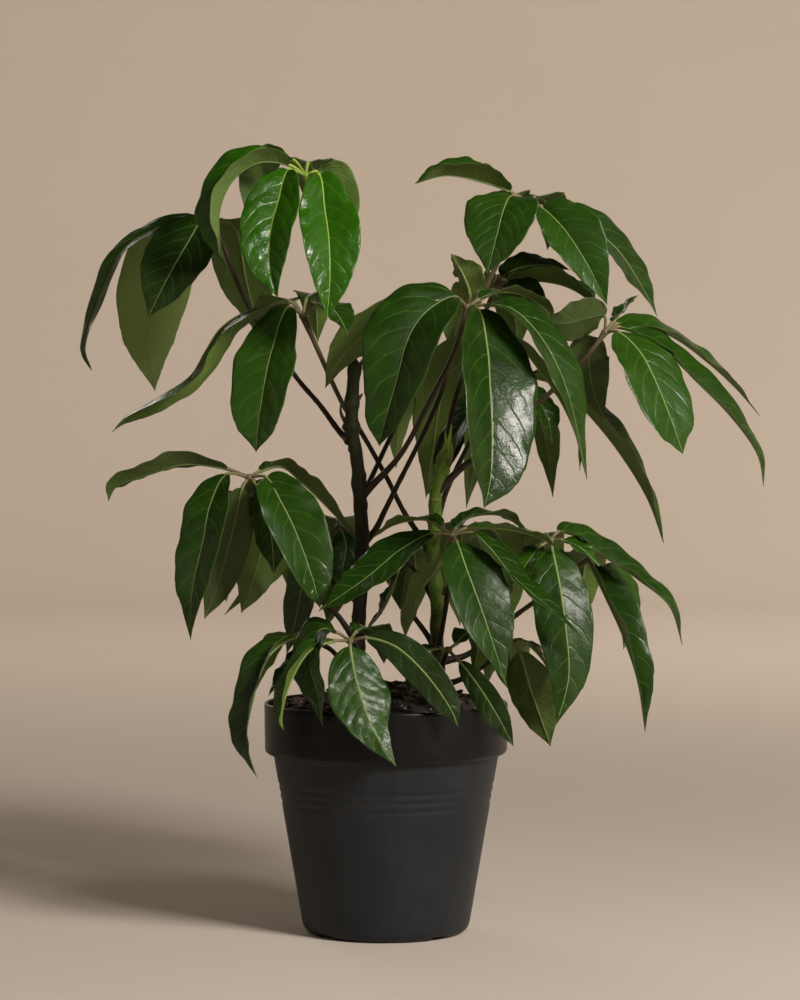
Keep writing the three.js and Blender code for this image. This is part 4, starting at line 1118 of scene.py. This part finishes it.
@dataclass
class Soil:
    """The potting soil: a mound with a hump behind the stems, crumbs, bark chips and perlite; millimetres."""

    pot: Pot
    edge_drop: float = 10
    mound: float = 240
    hump: float = 8
    hump_place: Pair = (8, 52)
    hump_spread: float = 44
    clod: float = 1.3
    ridge: float = 0.9
    gap: float = 0.3
    under_rim: float = 219
    sides: int = 260
    rings: int = 90
    lump_inset: float = 6.4
    chips: int = 60
    crumbs: int = 420
    perlite: int = 150

    def height(self, x: np.ndarray, y: np.ndarray) -> np.ndarray:
        """The surface over x, y in millimetres.

        edge + (mound - edge) (1 - s^2.4)^0.8 + (hump exp(-d^2) + clods) (1 - s^6), with s the share of the
        radius and d the distance from the hump. The clods are two crossed waves and a slanting one.

        Args:
            x: places across.
            y: places away.

        Returns:
            The heights.
        """
        share = np.minimum(1, np.hypot(x, y) / self.pot.inside)
        edge = self.pot.height - self.edge_drop
        mound = edge + (self.mound - edge) * (1 - share**2.4) ** 0.8
        away = np.hypot(x - self.hump_place[0], y - self.hump_place[1]) / self.hump_spread
        clods = self.clod * np.sin(x * 0.31 + 1) * np.sin(y * 0.27 + 2)
        clods = clods + self.ridge * np.sin(x * 0.13 - y * 0.19)
        return mound + (self.hump * np.exp(-(away**2)) + clods) * (1 - share**6)

    def rough(self, x: np.ndarray, y: np.ndarray) -> np.ndarray:
        """The surface with crumbs on it: the height plus three random fields of 14, 6 and 3 mm, less 0.6."""
        flat = vectors_of(x, y, 0.0) * MM
        crumbs = 1.3 * grain(flat, 0.014, 3) + 0.8 * grain(flat, 0.006, 4) + 0.5 * grain(flat, 0.003, 5)
        return self.height(x, y) + crumbs - 0.6

    def bed(self) -> Shell:
        """The filling: down the pot's inner wall, and rings across the rough top."""
        pot = self.pot
        inside = pot.inside - self.gap
        sides = [(20, pot.floor + self.gap), (pot.flat_radius + 1, pot.floor + self.gap)]
        sides += [(pot.foot_radius - pot.wall - self.gap, pot.foot_height + 1)]
        sides += [(pot.shoulder_radius - pot.wall - self.gap, pot.shoulder)]
        sides += [(inside, pot.shoulder + 6.5), (inside, self.under_rim)]
        shares = np.concatenate([[0.998], np.linspace(0.985, 0.01, self.rings)])
        radii = np.array([r for r, _ in sides] + list(inside * shares))
        turn = round_turn(self.sides)
        x, y = radii[:, None] * np.cos(turn), radii[:, None] * np.sin(turn)
        wall = np.array([h for _, h in sides])[:, None] * np.ones(self.sides)
        height = np.vstack([wall, self.rough(x[len(sides) :], y[len(sides) :])])
        return closed(vectors_of(x, y, height) * MM)

    def lumps(self, count: int, size: Pair, flat: float, seed: int, finish: int) -> list[Shell]:
        """Lumps strewn over the bed: ellipsoids with dented faces, five rings of eight points each.

        Args:
            count: how many.
            size: the smallest and largest length, in millimetres.
            flat: thickness as a share of the length.
            seed: what draws them.
            finish: the index of their finish.

        Returns:
            One surface for each lump.
        """
        draw = np.random.default_rng(seed)
        rings, around = 5, 8
        plain = ball(rings, around, 0.14, 0.86)
        made = []
        reach = self.pot.inside - self.lump_inset
        for _ in range(count):
            length = draw.uniform(*size)
            stretch = np.array([1, draw.uniform(0.45, 0.8), flat * draw.uniform(0.7, 1.2)]) * length / 2
            dented = plain * draw.uniform(0.72, 1.15, (rings, around, 1)) * stretch
            tip, tilt, spin = draw.uniform(-0.35, 0.35), draw.uniform(-0.35, 0.35), draw.uniform(0, tau)
            lean = np.array([[1, 0, -tip], [0, 1, -tilt], [tip, tilt, 1]])
            twist = np.array([[cos(spin), -sin(spin), 0], [sin(spin), cos(spin), 0], [0, 0, 1]])
            radius, angle = reach * np.sqrt(draw.uniform(0.02, 1)), draw.uniform(0, tau)
            x, y = radius * cos(angle), radius * sin(angle)
            place = np.array([x, y, self.height(x, y) + flat * length * 0.12])
            made.append(closed((dented @ (twist @ lean).T + place) * MM, finish=finish))
        return made

    def build(self) -> list[Shell]:
        """The bed, then chips, crumbs and perlite."""
        shells = [self.bed()]
        shells += self.lumps(self.chips, (9, 22), 0.28, 11, 1)
        shells += self.lumps(self.crumbs, (2.5, 6.5), 0.6, 12, 2)
        shells += self.lumps(self.perlite, (1.4, 3.6), 0.8, 13, 3)
        return shells


# ---------------------------------------------------------------- stems


@dataclass
class Stem:
    """A stem with its leaf scars, bud scales and cut or growing top."""

    plan: StemPlan
    sides: int = 56
    steps: int = 420
    foot_drop: float = 18
    knot_spread: float = 0.022
    full_radius: float = 5  # a stem thinner than this is smoother
    grain_radius: float = 0.007  # metres, where the bark's grain is unrolled
    scar_from: float = 0.12  # share of the stem
    scar_to: float = 0.93
    scar_step: float = 0.083

    def curve(self) -> Spline:
        """The middle line, from a little under the soil to the top."""
        route = self.plan.route + ((self.plan.tip,) if self.plan.tip else ())
        points = seen(np.array(route))
        foot = points[0] - [0, 0, self.foot_drop * MM]
        return Spline(np.vstack([foot, points]))

    def radius(self, share: np.ndarray) -> np.ndarray:
        """Low + (high - low) share, a bell at each knot, and a taper min(1, 0.1 + 7 (1 - share)) to a tip."""
        low, high = self.plan.radius
        thick = low + (high - low) * share
        for place, more in self.plan.knots:
            thick = thick + more * swell(share, place, self.knot_spread)
        if self.plan.tip:
            thick = thick * np.minimum(1, 0.1 + 7 * (1 - share))
        return thick

    def build(self) -> list[Shell]:
        """The stem as a grid of share and turn: its radius, with flutes, wrinkles and rims of leaf scars."""
        curve = self.curve()
        share = np.linspace(0, 1, self.steps)
        turn = round_turn(self.sides)
        radii = self.radius(share)[:, None] * np.ones(self.sides)
        body = np.minimum(1, radii / self.full_radius)
        around = self.grain_radius
        unrolled = vectors_of(np.cos(turn) * around, np.sin(turn) * around, (share * curve.length())[:, None])
        seed = self.plan.seed
        radii = radii + body * 0.35 * grain(unrolled, 0.02, seed)
        radii = radii + body * 0.16 * grain(unrolled * [1, 1, 0.3], 0.004, seed + 1)
        scar = np.zeros_like(radii)
        for number, place in enumerate(np.arange(self.scar_from, self.scar_to, self.scar_step), 1):
            facing = np.cos(turn - tau * chance(seed + number))[None]
            rim = swell(share, place + 0.004 * sin(number), 0.0065)[:, None] * (0.45 + 0.55 * facing)
            hollow = swell(share, place + 0.010, 0.008)[:, None] * np.clip(facing, 0, 1) ** 3
            radii = radii + body * (0.75 * rim + 0.9 * hollow)
            scar = np.maximum(scar, hollow * 0.9)
        shell = tube(curve.at(share), curve.along(share), radii * MM, self.sides, share, np.zeros_like(share))
        shell.marks["stalk"][: scar.size, 2] = scar.ravel()
        return [shell] + (self.growing_tip(curve) if self.plan.tip else self.cut_top(curve))

    def spike(
        self, foot: np.ndarray, tip: np.ndarray, radius: float, curl: np.ndarray, fresh: float = 0,
    ) -> Shell:
        """A pointed scale: a bar from foot to tip of radius r ((1 - s)^0.7 + 0.05), a third as thick one way.

        Args:
            foot: where it grows from.
            tip: its point.
            radius: half its width at the foot, in millimetres.
            curl: how far its middle leans out, in metres.
            fresh: from 0 for a dry scale to 1 for a green shoot.

        Returns:
            The closed surface.
        """
        sides = 14
        share = np.linspace(0, 1, 22)
        curve = Spline(np.array([foot, (foot + tip) / 2 + curl, tip]))
        radii = radius * MM * ((1 - share) ** 0.7 + 0.05)
        radii = radii[:, None] * (0.35 + 0.65 * np.abs(np.cos(round_turn(sides))))
        grown = share * 0.4 + 0.5 + 0.4 * fresh
        pale = 0.3 * share + fresh * (0.3 + 0.5 * share)
        return tube(curve.at(share), curve.along(share), radii, sides, grown, pale, 1)

    def growing_tip(self, curve: Spline) -> list[Shell]:
        """Bud scales that clasp the growing tip, and the fresh shoots that part them."""
        shells = []
        for number, (low, high, lean, width) in enumerate(
            ((0.84, 0.955, -1, 4.6), (0.86, 0.985, 1, 4.2), (0.9, 1.0, -0.4, 3.4), (0.88, 0.97, 0.7, 3.0))
        ):
            foot, tip = curve.at(np.array([low, high]))
            out = np.array([lean, -0.8 if number % 2 else -0.3, 0.1]) * 4.2 * MM
            shells.append(self.spike(foot + out * 0.55, tip + out, width, out * 0.5, 0.15 * number))
        top = curve.at(np.array([1.0]))[0]
        for sway, rise, thick in ((3.5, 16, 2.3), (-3.0, 9, 2.0), (1.0, 5, 2.2)):
            shoot = np.array([sway, -2.5, rise]) * MM
            shells.append(self.spike(top - [0, 0.001, 0.012], top + shoot, thick, shoot * 0.15, 1.0))
        return shells

    def cut_top(self, curve: Spline) -> list[Shell]:
        """Dead stubs at the pruned top and the pointed scales in the leaf axils, placed in millimetres."""
        shells = []
        for share, foot, tip, radius, curl in (
            (1.0, (-2, 0, -4), (-6, 0, 9), 3.4, (-1, 0, 0)),
            (1.0, (2, 0, -6), (7, -2, 4), 3.0, (1, 0, 0)),
            (0.885, (0, 0, 0), (11, -3, 8), 3.6, (1, 0, -1)),
            (0.795, (-4, 0, 0), (-11, -2, 24), 2.6, (-3, 0, 0)),
        ):
            place = curve.at(np.array([share]))[0]
            foot, tip, curl = (np.array(step) * MM for step in (foot, tip, curl))
            shells.append(self.spike(place + foot, place + tip, radius, curl))
        return shells


# ---------------------------------------------------------------- foliage


class Midrib:
    """The curve of a leaflet from the leaf's hub to its tip, and the blade's directions along it."""

    def __init__(self, hub: np.ndarray, rib: np.ndarray, roll: float) -> None:
        """Lays the curve.

        Args:
            hub: the leaf's hub, in metres.
            rib: the midrib's places from the blade's base to its tip, in metres.
            roll: how far the blade is turned about it, in degrees.
        """
        self.curve = Spline(np.vstack([hub, rib]))
        self.base = 1 / len(rib)  # share of the curve at which the blade starts
        heading = (rib - hub).sum(axis=0) * [1, 1, 0]
        self.side = np.cross(UP, heading / np.linalg.norm(heading))
        self.roll = radians(roll)
        self.length = self.curve.length() * (1 - self.base) / MM
        self.spacing = np.clip(self.length / 7.5, 11, 22)  # of its side veins, in millimetres

    def axes(self, station: np.ndarray) -> tuple[np.ndarray, np.ndarray, np.ndarray, np.ndarray]:
        """The blade's directions: level is the side square to the tangent t, face is t x level, both rolled.

        Args:
            station: shares of the blade's length.

        Returns:
            The midrib's points and tangents, the ways out across the blade and the ways up from it.
        """
        share = self.base + (1 - self.base) * station
        tangent = self.curve.along(share)
        level = unit(self.side - tangent * (tangent @ self.side)[:, None])
        face = np.cross(tangent, level)
        out = level * cos(self.roll) - face * sin(self.roll)
        top = face * cos(self.roll) + level * sin(self.roll)
        return self.curve.at(share), tangent, out, top


@dataclass
class Foliage:
    """One palmate leaf: stalk, hub, small leaf stalks and blades, with its sizes in millimetres."""

    leaf: Leaf
    number: int
    rows: int = 84
    columns: int = 31
    widest: float = 0.42
    base_roundness: float = 0.55
    tip_fullness: float = 2.2
    tip_sharpness: float = 1.3
    end_half: float = 0.25  # half the width left at a blade's end, and the radius at its midrib's
    bulge: float = 0.4
    ripple: float = 1.7
    waves: float = 2.3
    frill: float = 0.8
    frills: float = 6.3
    turn: float = 6.28  # radians that a ripple counts as one turn
    tooth_length: float = 12.5
    tooth_depth: float = 0.05
    quilting: float = 0.14
    thickness: float = 0.55
    midrib: float = 1.35
    petiolule: float = 1.55
    petiole: float = 2.45
    sheath: float = 1.9
    joint: float = 9  # over which the stalk thickens at either end
    knuckle: float = 4.4

    def outline(self, station: np.ndarray) -> np.ndarray:
        """Share of the half width: sin(pi s / 2w)^0.55 up to the widest place w, then (1 - b^2.2)^1.3.

        Here b runs from 0 at the widest place to 1 at the tip.

        Args:
            station: shares of the blade's length.

        Returns:
            Numbers from 0 to 1.
        """
        base = np.sin(pi / 2 * np.minimum(1, station / self.widest)) ** self.base_roundness
        beyond = np.clip((station - self.widest) / (1 - self.widest), 0, 1)
        return np.minimum(base, (1 - beyond**self.tip_fullness) ** self.tip_sharpness)

    def half_width(
        self, width: float, station: np.ndarray, off: np.ndarray, along: np.ndarray, phase: float,
    ) -> np.ndarray:
        """The outline in millimetres, whose outer fifth waves by 0.014 and is toothed towards the tip.

        Args:
            width: the leaflet's full width.
            station: shares of the blade's length.
            off: the lanes' distances from the midrib, from 0 to 1.
            along: millimetres from the blade's base.
            phase: where its waves start, in radians.

        Returns:
            The half width of each station and lane.
        """
        half = width / 2 * self.outline(station) + self.end_half
        teeth = smooth(station, 0.55, 0.8) * (1 - smooth(station, 0.9, 0.97))
        tooth = (along / self.tooth_length + phase) % 1
        edge = 1 + 0.014 * np.sin(along * 0.17 + phase) + self.tooth_depth * teeth * (tooth - 0.5)
        return half * np.where(off > 0.8, 1 + (edge - 1) * (off - 0.8) * 5, 1)

    def blade(self, shape: Leaflet, seed: int, rib: Midrib) -> Shell:
        """The blade of one leaflet, as rows along the midrib and lanes l from -1 to 1 across it.

        The middle surface is m(s) + out l h cos f + top (arch(|l|) h sin f + |l|^1.5 wave + quilt +
        wrinkles), with h the half width, f the fold, arch(x) = (1 + b) x - b x^2, and wave = ripple sin(2.3
        turns s + phase + sign l) and a finer frill. Between the side veins it quilts by -0.14 c^1.2
        cos(2 pi veins) (4 |l| (1 - |l|))^0.8, with c how crinkled it is, and a groove follows the midrib.

        Args:
            shape: the leaflet.
            seed: its number, which sets its phase.
            rib: its midrib.

        Returns:
            The closed blade.
        """
        fold, phase = radians(shape.fold), self.turn * chance(seed)
        station = np.linspace(0, 1, self.rows)
        middle, _, out, top = rib.axes(station)
        station = station[:, None]
        along = rib.length * station
        lane = np.linspace(-1, 1, self.columns)[None]
        lane = np.sign(lane) * np.abs(lane) ** 1.15
        off, hand = np.abs(lane), np.sign(lane)
        half = self.half_width(shape.width, station, off, along, phase)
        wave = self.ripple * np.minimum(1, half / 12)
        wave = wave * np.sin(self.turn * self.waves * station + phase + hand)
        frill = self.frill * np.sin(tau * self.frills * station + 2 * phase + 2 * hand)
        wave = wave + frill * np.minimum(1, half / 20) * off**3
        across = lane * half
        reach = np.abs(across) * VEIN_LEAN + np.abs(across) * off**2 * VEIN_BEND
        veins = (along - reach) / rib.spacing + np.where(lane > 0, VEIN_SHIFT, 0)
        quilt = -self.quilting * shape.crinkle**1.2 * np.cos(tau * veins) * (4 * off * (1 - off)) ** 0.8
        quilt = quilt * smooth(station, 0.02, 0.15) * (1 - smooth(station, 0.88, 0.97))
        flat = vectors_of(along, across, seed * 40.0) * MM
        wrinkle = 0.26 * grain(flat, 0.021, 40 + seed % 7) + 0.11 * grain(flat, 0.009, 50 + seed % 5)
        wrinkle = shape.crinkle * wrinkle * np.minimum(1, off * 3)
        groove = -0.25 * np.exp(-((across / 1.6) ** 2))
        arch = (1 + self.bulge) * off - self.bulge * off**2
        lift = half * sin(fold) * arch + wave * off**1.5 + quilt + wrinkle + groove
        sideways = out[:, None] * (across * cos(fold))[..., None]
        place = middle[:, None] + (sideways + top[:, None] * lift[..., None]) * MM
        normal = unit(np.cross(np.gradient(place, axis=0), np.gradient(place, axis=1)))
        normal = normal * np.sign((normal * top[:, None]).sum(axis=-1, keepdims=True) + 1e-9)
        thick = (self.thickness * (1 - 0.45 * off**3) * MM / 2)[..., None]
        spot = vectors_of(along, across, lane)
        look = vectors_of(np.zeros_like(across), chance(seed + 300), rib.spacing)

        def around(upper: np.ndarray, lower: np.ndarray) -> np.ndarray:
            """Rings that cross the top and come back beneath."""
            return np.concatenate([upper, lower[:, ::-1]], axis=1)

        rings = around(place + normal * thick, place - normal * thick)
        return closed(rings, {
            "blade": around(spot, spot),
            "look": around(look, look + [1, 0, 0]),
            "trait": [shape.dull, shape.stout, shape.tone] * np.ones_like(rings),
        })

    def ridge(self, shape: Leaflet, rib: Midrib) -> Shell:
        """The midrib beneath: a bar of radius 1.35 (1 - s)^0.9 + 0.25, slimmer where it isn't stout."""
        station = np.linspace(0, 0.97, 60)
        slim = min(1, shape.stout)
        radii = (self.midrib * (1 - station) ** 0.9 + self.end_half) * (0.4 + 0.6 * slim) * MM
        middle, tangent, _, top = rib.axes(station)
        none = np.zeros_like(station)
        bar = tube(middle - top * (radii * 0.55)[:, None], tangent, radii, 10, none, none)
        ones = np.ones(len(bar.points))
        bar.marks = {
            "blade": vectors_of(ones, 1.4 * (1 - slim), 0),
            "look": vectors_of(ones, 0.5, rib.spacing),
            "trait": vectors_of(ones * shape.dull, 1, shape.tone),
        }
        return bar

    def small_stalk(self, rib: Midrib) -> Shell:
        """The leaflet's own stalk from the hub to the blade, thicker at both ends."""
        share = np.linspace(0, 1, 26)
        radii = self.petiolule + 0.9 * swell(share, 0.0, 0.16) + 0.35 * swell(share, 1.0, 0.2)
        way = (rib.base + (1 - rib.base) * 0.015) * share
        grown, pale = 0.8 + 0.2 * share, 0.25 + 0.6 * share
        return tube(rib.curve.at(way), rib.curve.along(way), radii * MM, 12, grown, pale, 1)

    def stalk(self, hub: np.ndarray) -> list[Shell]:
        """The stalk, 2.45 + 1.9 (1 - s)^6 and thicker at both joints, and the knuckle that is the hub."""
        curve = Spline(np.vstack([seen(np.array(self.leaf.petiole)), hub]))
        share = np.linspace(0, 1, 90)
        reach = curve.length() / MM
        to_hub = (1 - share) * reach
        radii = self.petiole + self.sheath * (1 - share) ** 6 + 1.1 * np.exp(-((to_hub / self.joint) ** 2))
        radii = radii + 1.4 * np.exp(-share * reach / self.joint)
        radii = radii + 0.12 * grain(vectors_of(share * reach, 0.0, self.number * 31.0) * MM, 0.012, 60)
        plain = ball(12, 20, 0.06, 0.94)
        knuckle = plain * (self.knuckle + 0.25 * grain(plain * 0.01, 0.008, 61 + self.number))[..., None] * MM
        pale = {"stalk": [1, 0, 0.35] * np.ones_like(plain)}
        return [
            tube(curve.at(share), curve.along(share), radii * MM, 18, share, 0.15 * share**4, 1),
            closed(knuckle * [1, 1, 0.8] + hub, pale, 1),
        ]

    def build(self) -> list[Shell]:
        """All surfaces of the leaf."""
        hub = seen(np.array([self.leaf.hub]))[0]
        shells = self.stalk(hub)
        for number, shape in enumerate(self.leaf.leaflets, 10 * self.number):
            rib = Midrib(hub, seen(np.array(shape.rib) + [0, 0, self.leaf.hub[2]]), shape.roll)
            shells += [self.blade(shape, number, rib), self.ridge(shape, rib), self.small_stalk(rib)]
        return shells


# ---------------------------------------------------------------- studio


@dataclass(frozen=True)
class Lamp:
    """A square soft light: its place and aim in metres, its side, watts, colour and spread in degrees."""

    name: str
    place: Point
    aim: Point
    size: float
    power: float
    colour: str
    spread: float = 180

    def hang(self) -> None:
        """Adds the light to the scene, turned by its yaw and pitch towards what it faces."""
        lamp = bpy.data.lights.new(self.name, "AREA")
        lamp.spread = radians(self.spread)
        lamp.shape, lamp.size, lamp.energy = "SQUARE", self.size, self.power
        lamp.color = paint(self.colour)[:3]
        made = bpy.data.objects.new(self.name, lamp)
        made.location = self.place
        away = np.array(self.place) - np.array(self.aim)
        yaw = np.arctan2(away[0], -away[1])
        pitch = np.arctan2(np.hypot(away[0], away[1]), away[2])
        made.rotation_euler = (pitch, 0, yaw)
        bpy.context.scene.collection.objects.link(made)


LAMPS = (
    Lamp("key", (2.1, -2.3, 2.3), (0.0, 0.0, 0.4), 1.0, 152, "fff7f0"),
    Lamp("fill", (-2.6, -2.4, 1.6), (0.0, 0.0, 0.4), 2.0, 4, "fff8f2"),
    Lamp("back_fill", (-1.7, 3.4, 2.0), (0.0, 0.0, 0.5), 1.6, 2.6, "fff8f2", 60),
)


@dataclass
class Studio:
    """A round pale studio with a floor that sweeps up into the wall, soft lights and the camera; metres."""

    floor_radius: float = 5.2
    sweep: float = 1.8
    wall: float = 5.0
    skirt: float = 0.5
    middle: float = 0.2
    sides: int = 96
    washes: int = 8
    wash_place: Pair = (2.6, 4.0)  # radius and height
    wash_aim: Pair = (6.2, 0.3)
    wash_power: Pair = (3, 64)  # in front, and what is added behind
    air: float = 0.05

    def room(self) -> Shell:
        """The floor, a quarter-round sweep and the wall, turned about the axis and closed under the floor."""
        bend = np.linspace(0, pi / 2, 24)
        out, top = self.floor_radius + self.sweep, self.sweep + self.wall
        flat = np.linspace(self.middle, self.floor_radius - 0.2, 20)
        radii = np.concatenate([flat, self.floor_radius + self.sweep * np.sin(bend)])
        radii = np.append(radii, [out, out, out + self.skirt, out + self.skirt, self.middle])
        heights = np.concatenate([np.zeros_like(flat), self.sweep * (1 - np.cos(bend))])
        heights = np.append(heights, [top / 2, top, top, -self.skirt, -self.skirt])
        turn, radii = round_turn(self.sides), radii[:, None]
        return closed(vectors_of(radii * np.cos(turn), radii * np.sin(turn), heights[:, None]))

    def light(self) -> None:
        """Hangs the lamps, and washes all round that light the wall, stronger behind the plant."""
        for lamp in LAMPS:
            lamp.hang()
        front, behind = self.wash_power
        for number in range(self.washes):
            turn = tau * (number + 0.5) / self.washes
            ends = (self.wash_place, self.wash_aim)
            place, aim = ((radius * sin(turn), -radius * cos(turn), height) for radius, height in ends)
            power = front + behind * ((1 - cos(turn + 0.75)) / 2) ** 2
            Lamp(f"wash_{number}", place, aim, 1.6, power, "fff3e6", 134).hang()

    def camera(self) -> None:
        """Stands the camera at the photograph's eye."""
        lens = bpy.data.cameras.new("front")
        lens.lens = -EYE[1] / PHOTO_HEIGHT * SENSOR
        lens.sensor_width, lens.clip_start, lens.clip_end = SENSOR, 0.1, 60
        camera = bpy.data.objects.new("front", lens)
        camera.location = EYE * MM
        camera.rotation_euler = (radians(90 - TILT), 0, 0)
        bpy.context.scene.collection.objects.link(camera)
        bpy.context.scene.camera = camera

    def build(self) -> None:
        """Makes the room, the lights, the world and the camera."""
        piece("studio_floor", [self.room()], [PAPER.make()])
        self.light()
        world = bpy.data.worlds.new("studio_air")
        world.use_nodes = True
        backdrop = world.node_tree.nodes["Background"]
        backdrop.inputs[0].default_value = paint("e9e0d6")
        backdrop.inputs[1].default_value = self.air
        bpy.context.scene.world = world
        self.camera()
        bpy.context.scene.view_settings.view_transform = "Standard"


# ---------------------------------------------------------------- the plant


def stand(made: bpy.types.Object, node: str) -> None:
    """Has a piece stand for a node and ride on the root, and reports it."""
    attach(made, "root")
    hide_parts(node)
    log.info("%s stands for %s: %d faces", made.name, node, len(made.data.polygons))


def main() -> None:
    """Builds the studio, the pot, the soil, the stems and the leaves."""
    logging.basicConfig(level=logging.INFO, format="%(message)s")
    Studio().build()
    pot = Pot()
    stand(piece("nursery_pot", [pot.build()], [PLASTIC.make()]), "pot")
    stand(piece("soil_bed", Soil(pot).build(), [earth.make() for earth in EARTHS]), "soil")
    stalks = {age: finish.make() for age, finish in STALKS.items()}
    blades = {age: finish.make() for age, finish in BLADES.items()}
    for plan in STEMS:
        finishes = [BARKS[plan.name].make(), stalks[Age.YOUNG if plan.tip else Age.GROWN]]
        stand(piece(f"{plan.name}_trunk", Stem(plan).build(), finishes), f"stem_{plan.name}")
    for number, leaf in enumerate(LEAVES):
        finishes = [blades[leaf.age], stalks[leaf.age]]
        made = piece(f"{leaf.name}_foliage", Foliage(leaf, number).build(), finishes)
        stand(made, f"leaf_{leaf.name}")


if __name__ == "__main__":
    main()
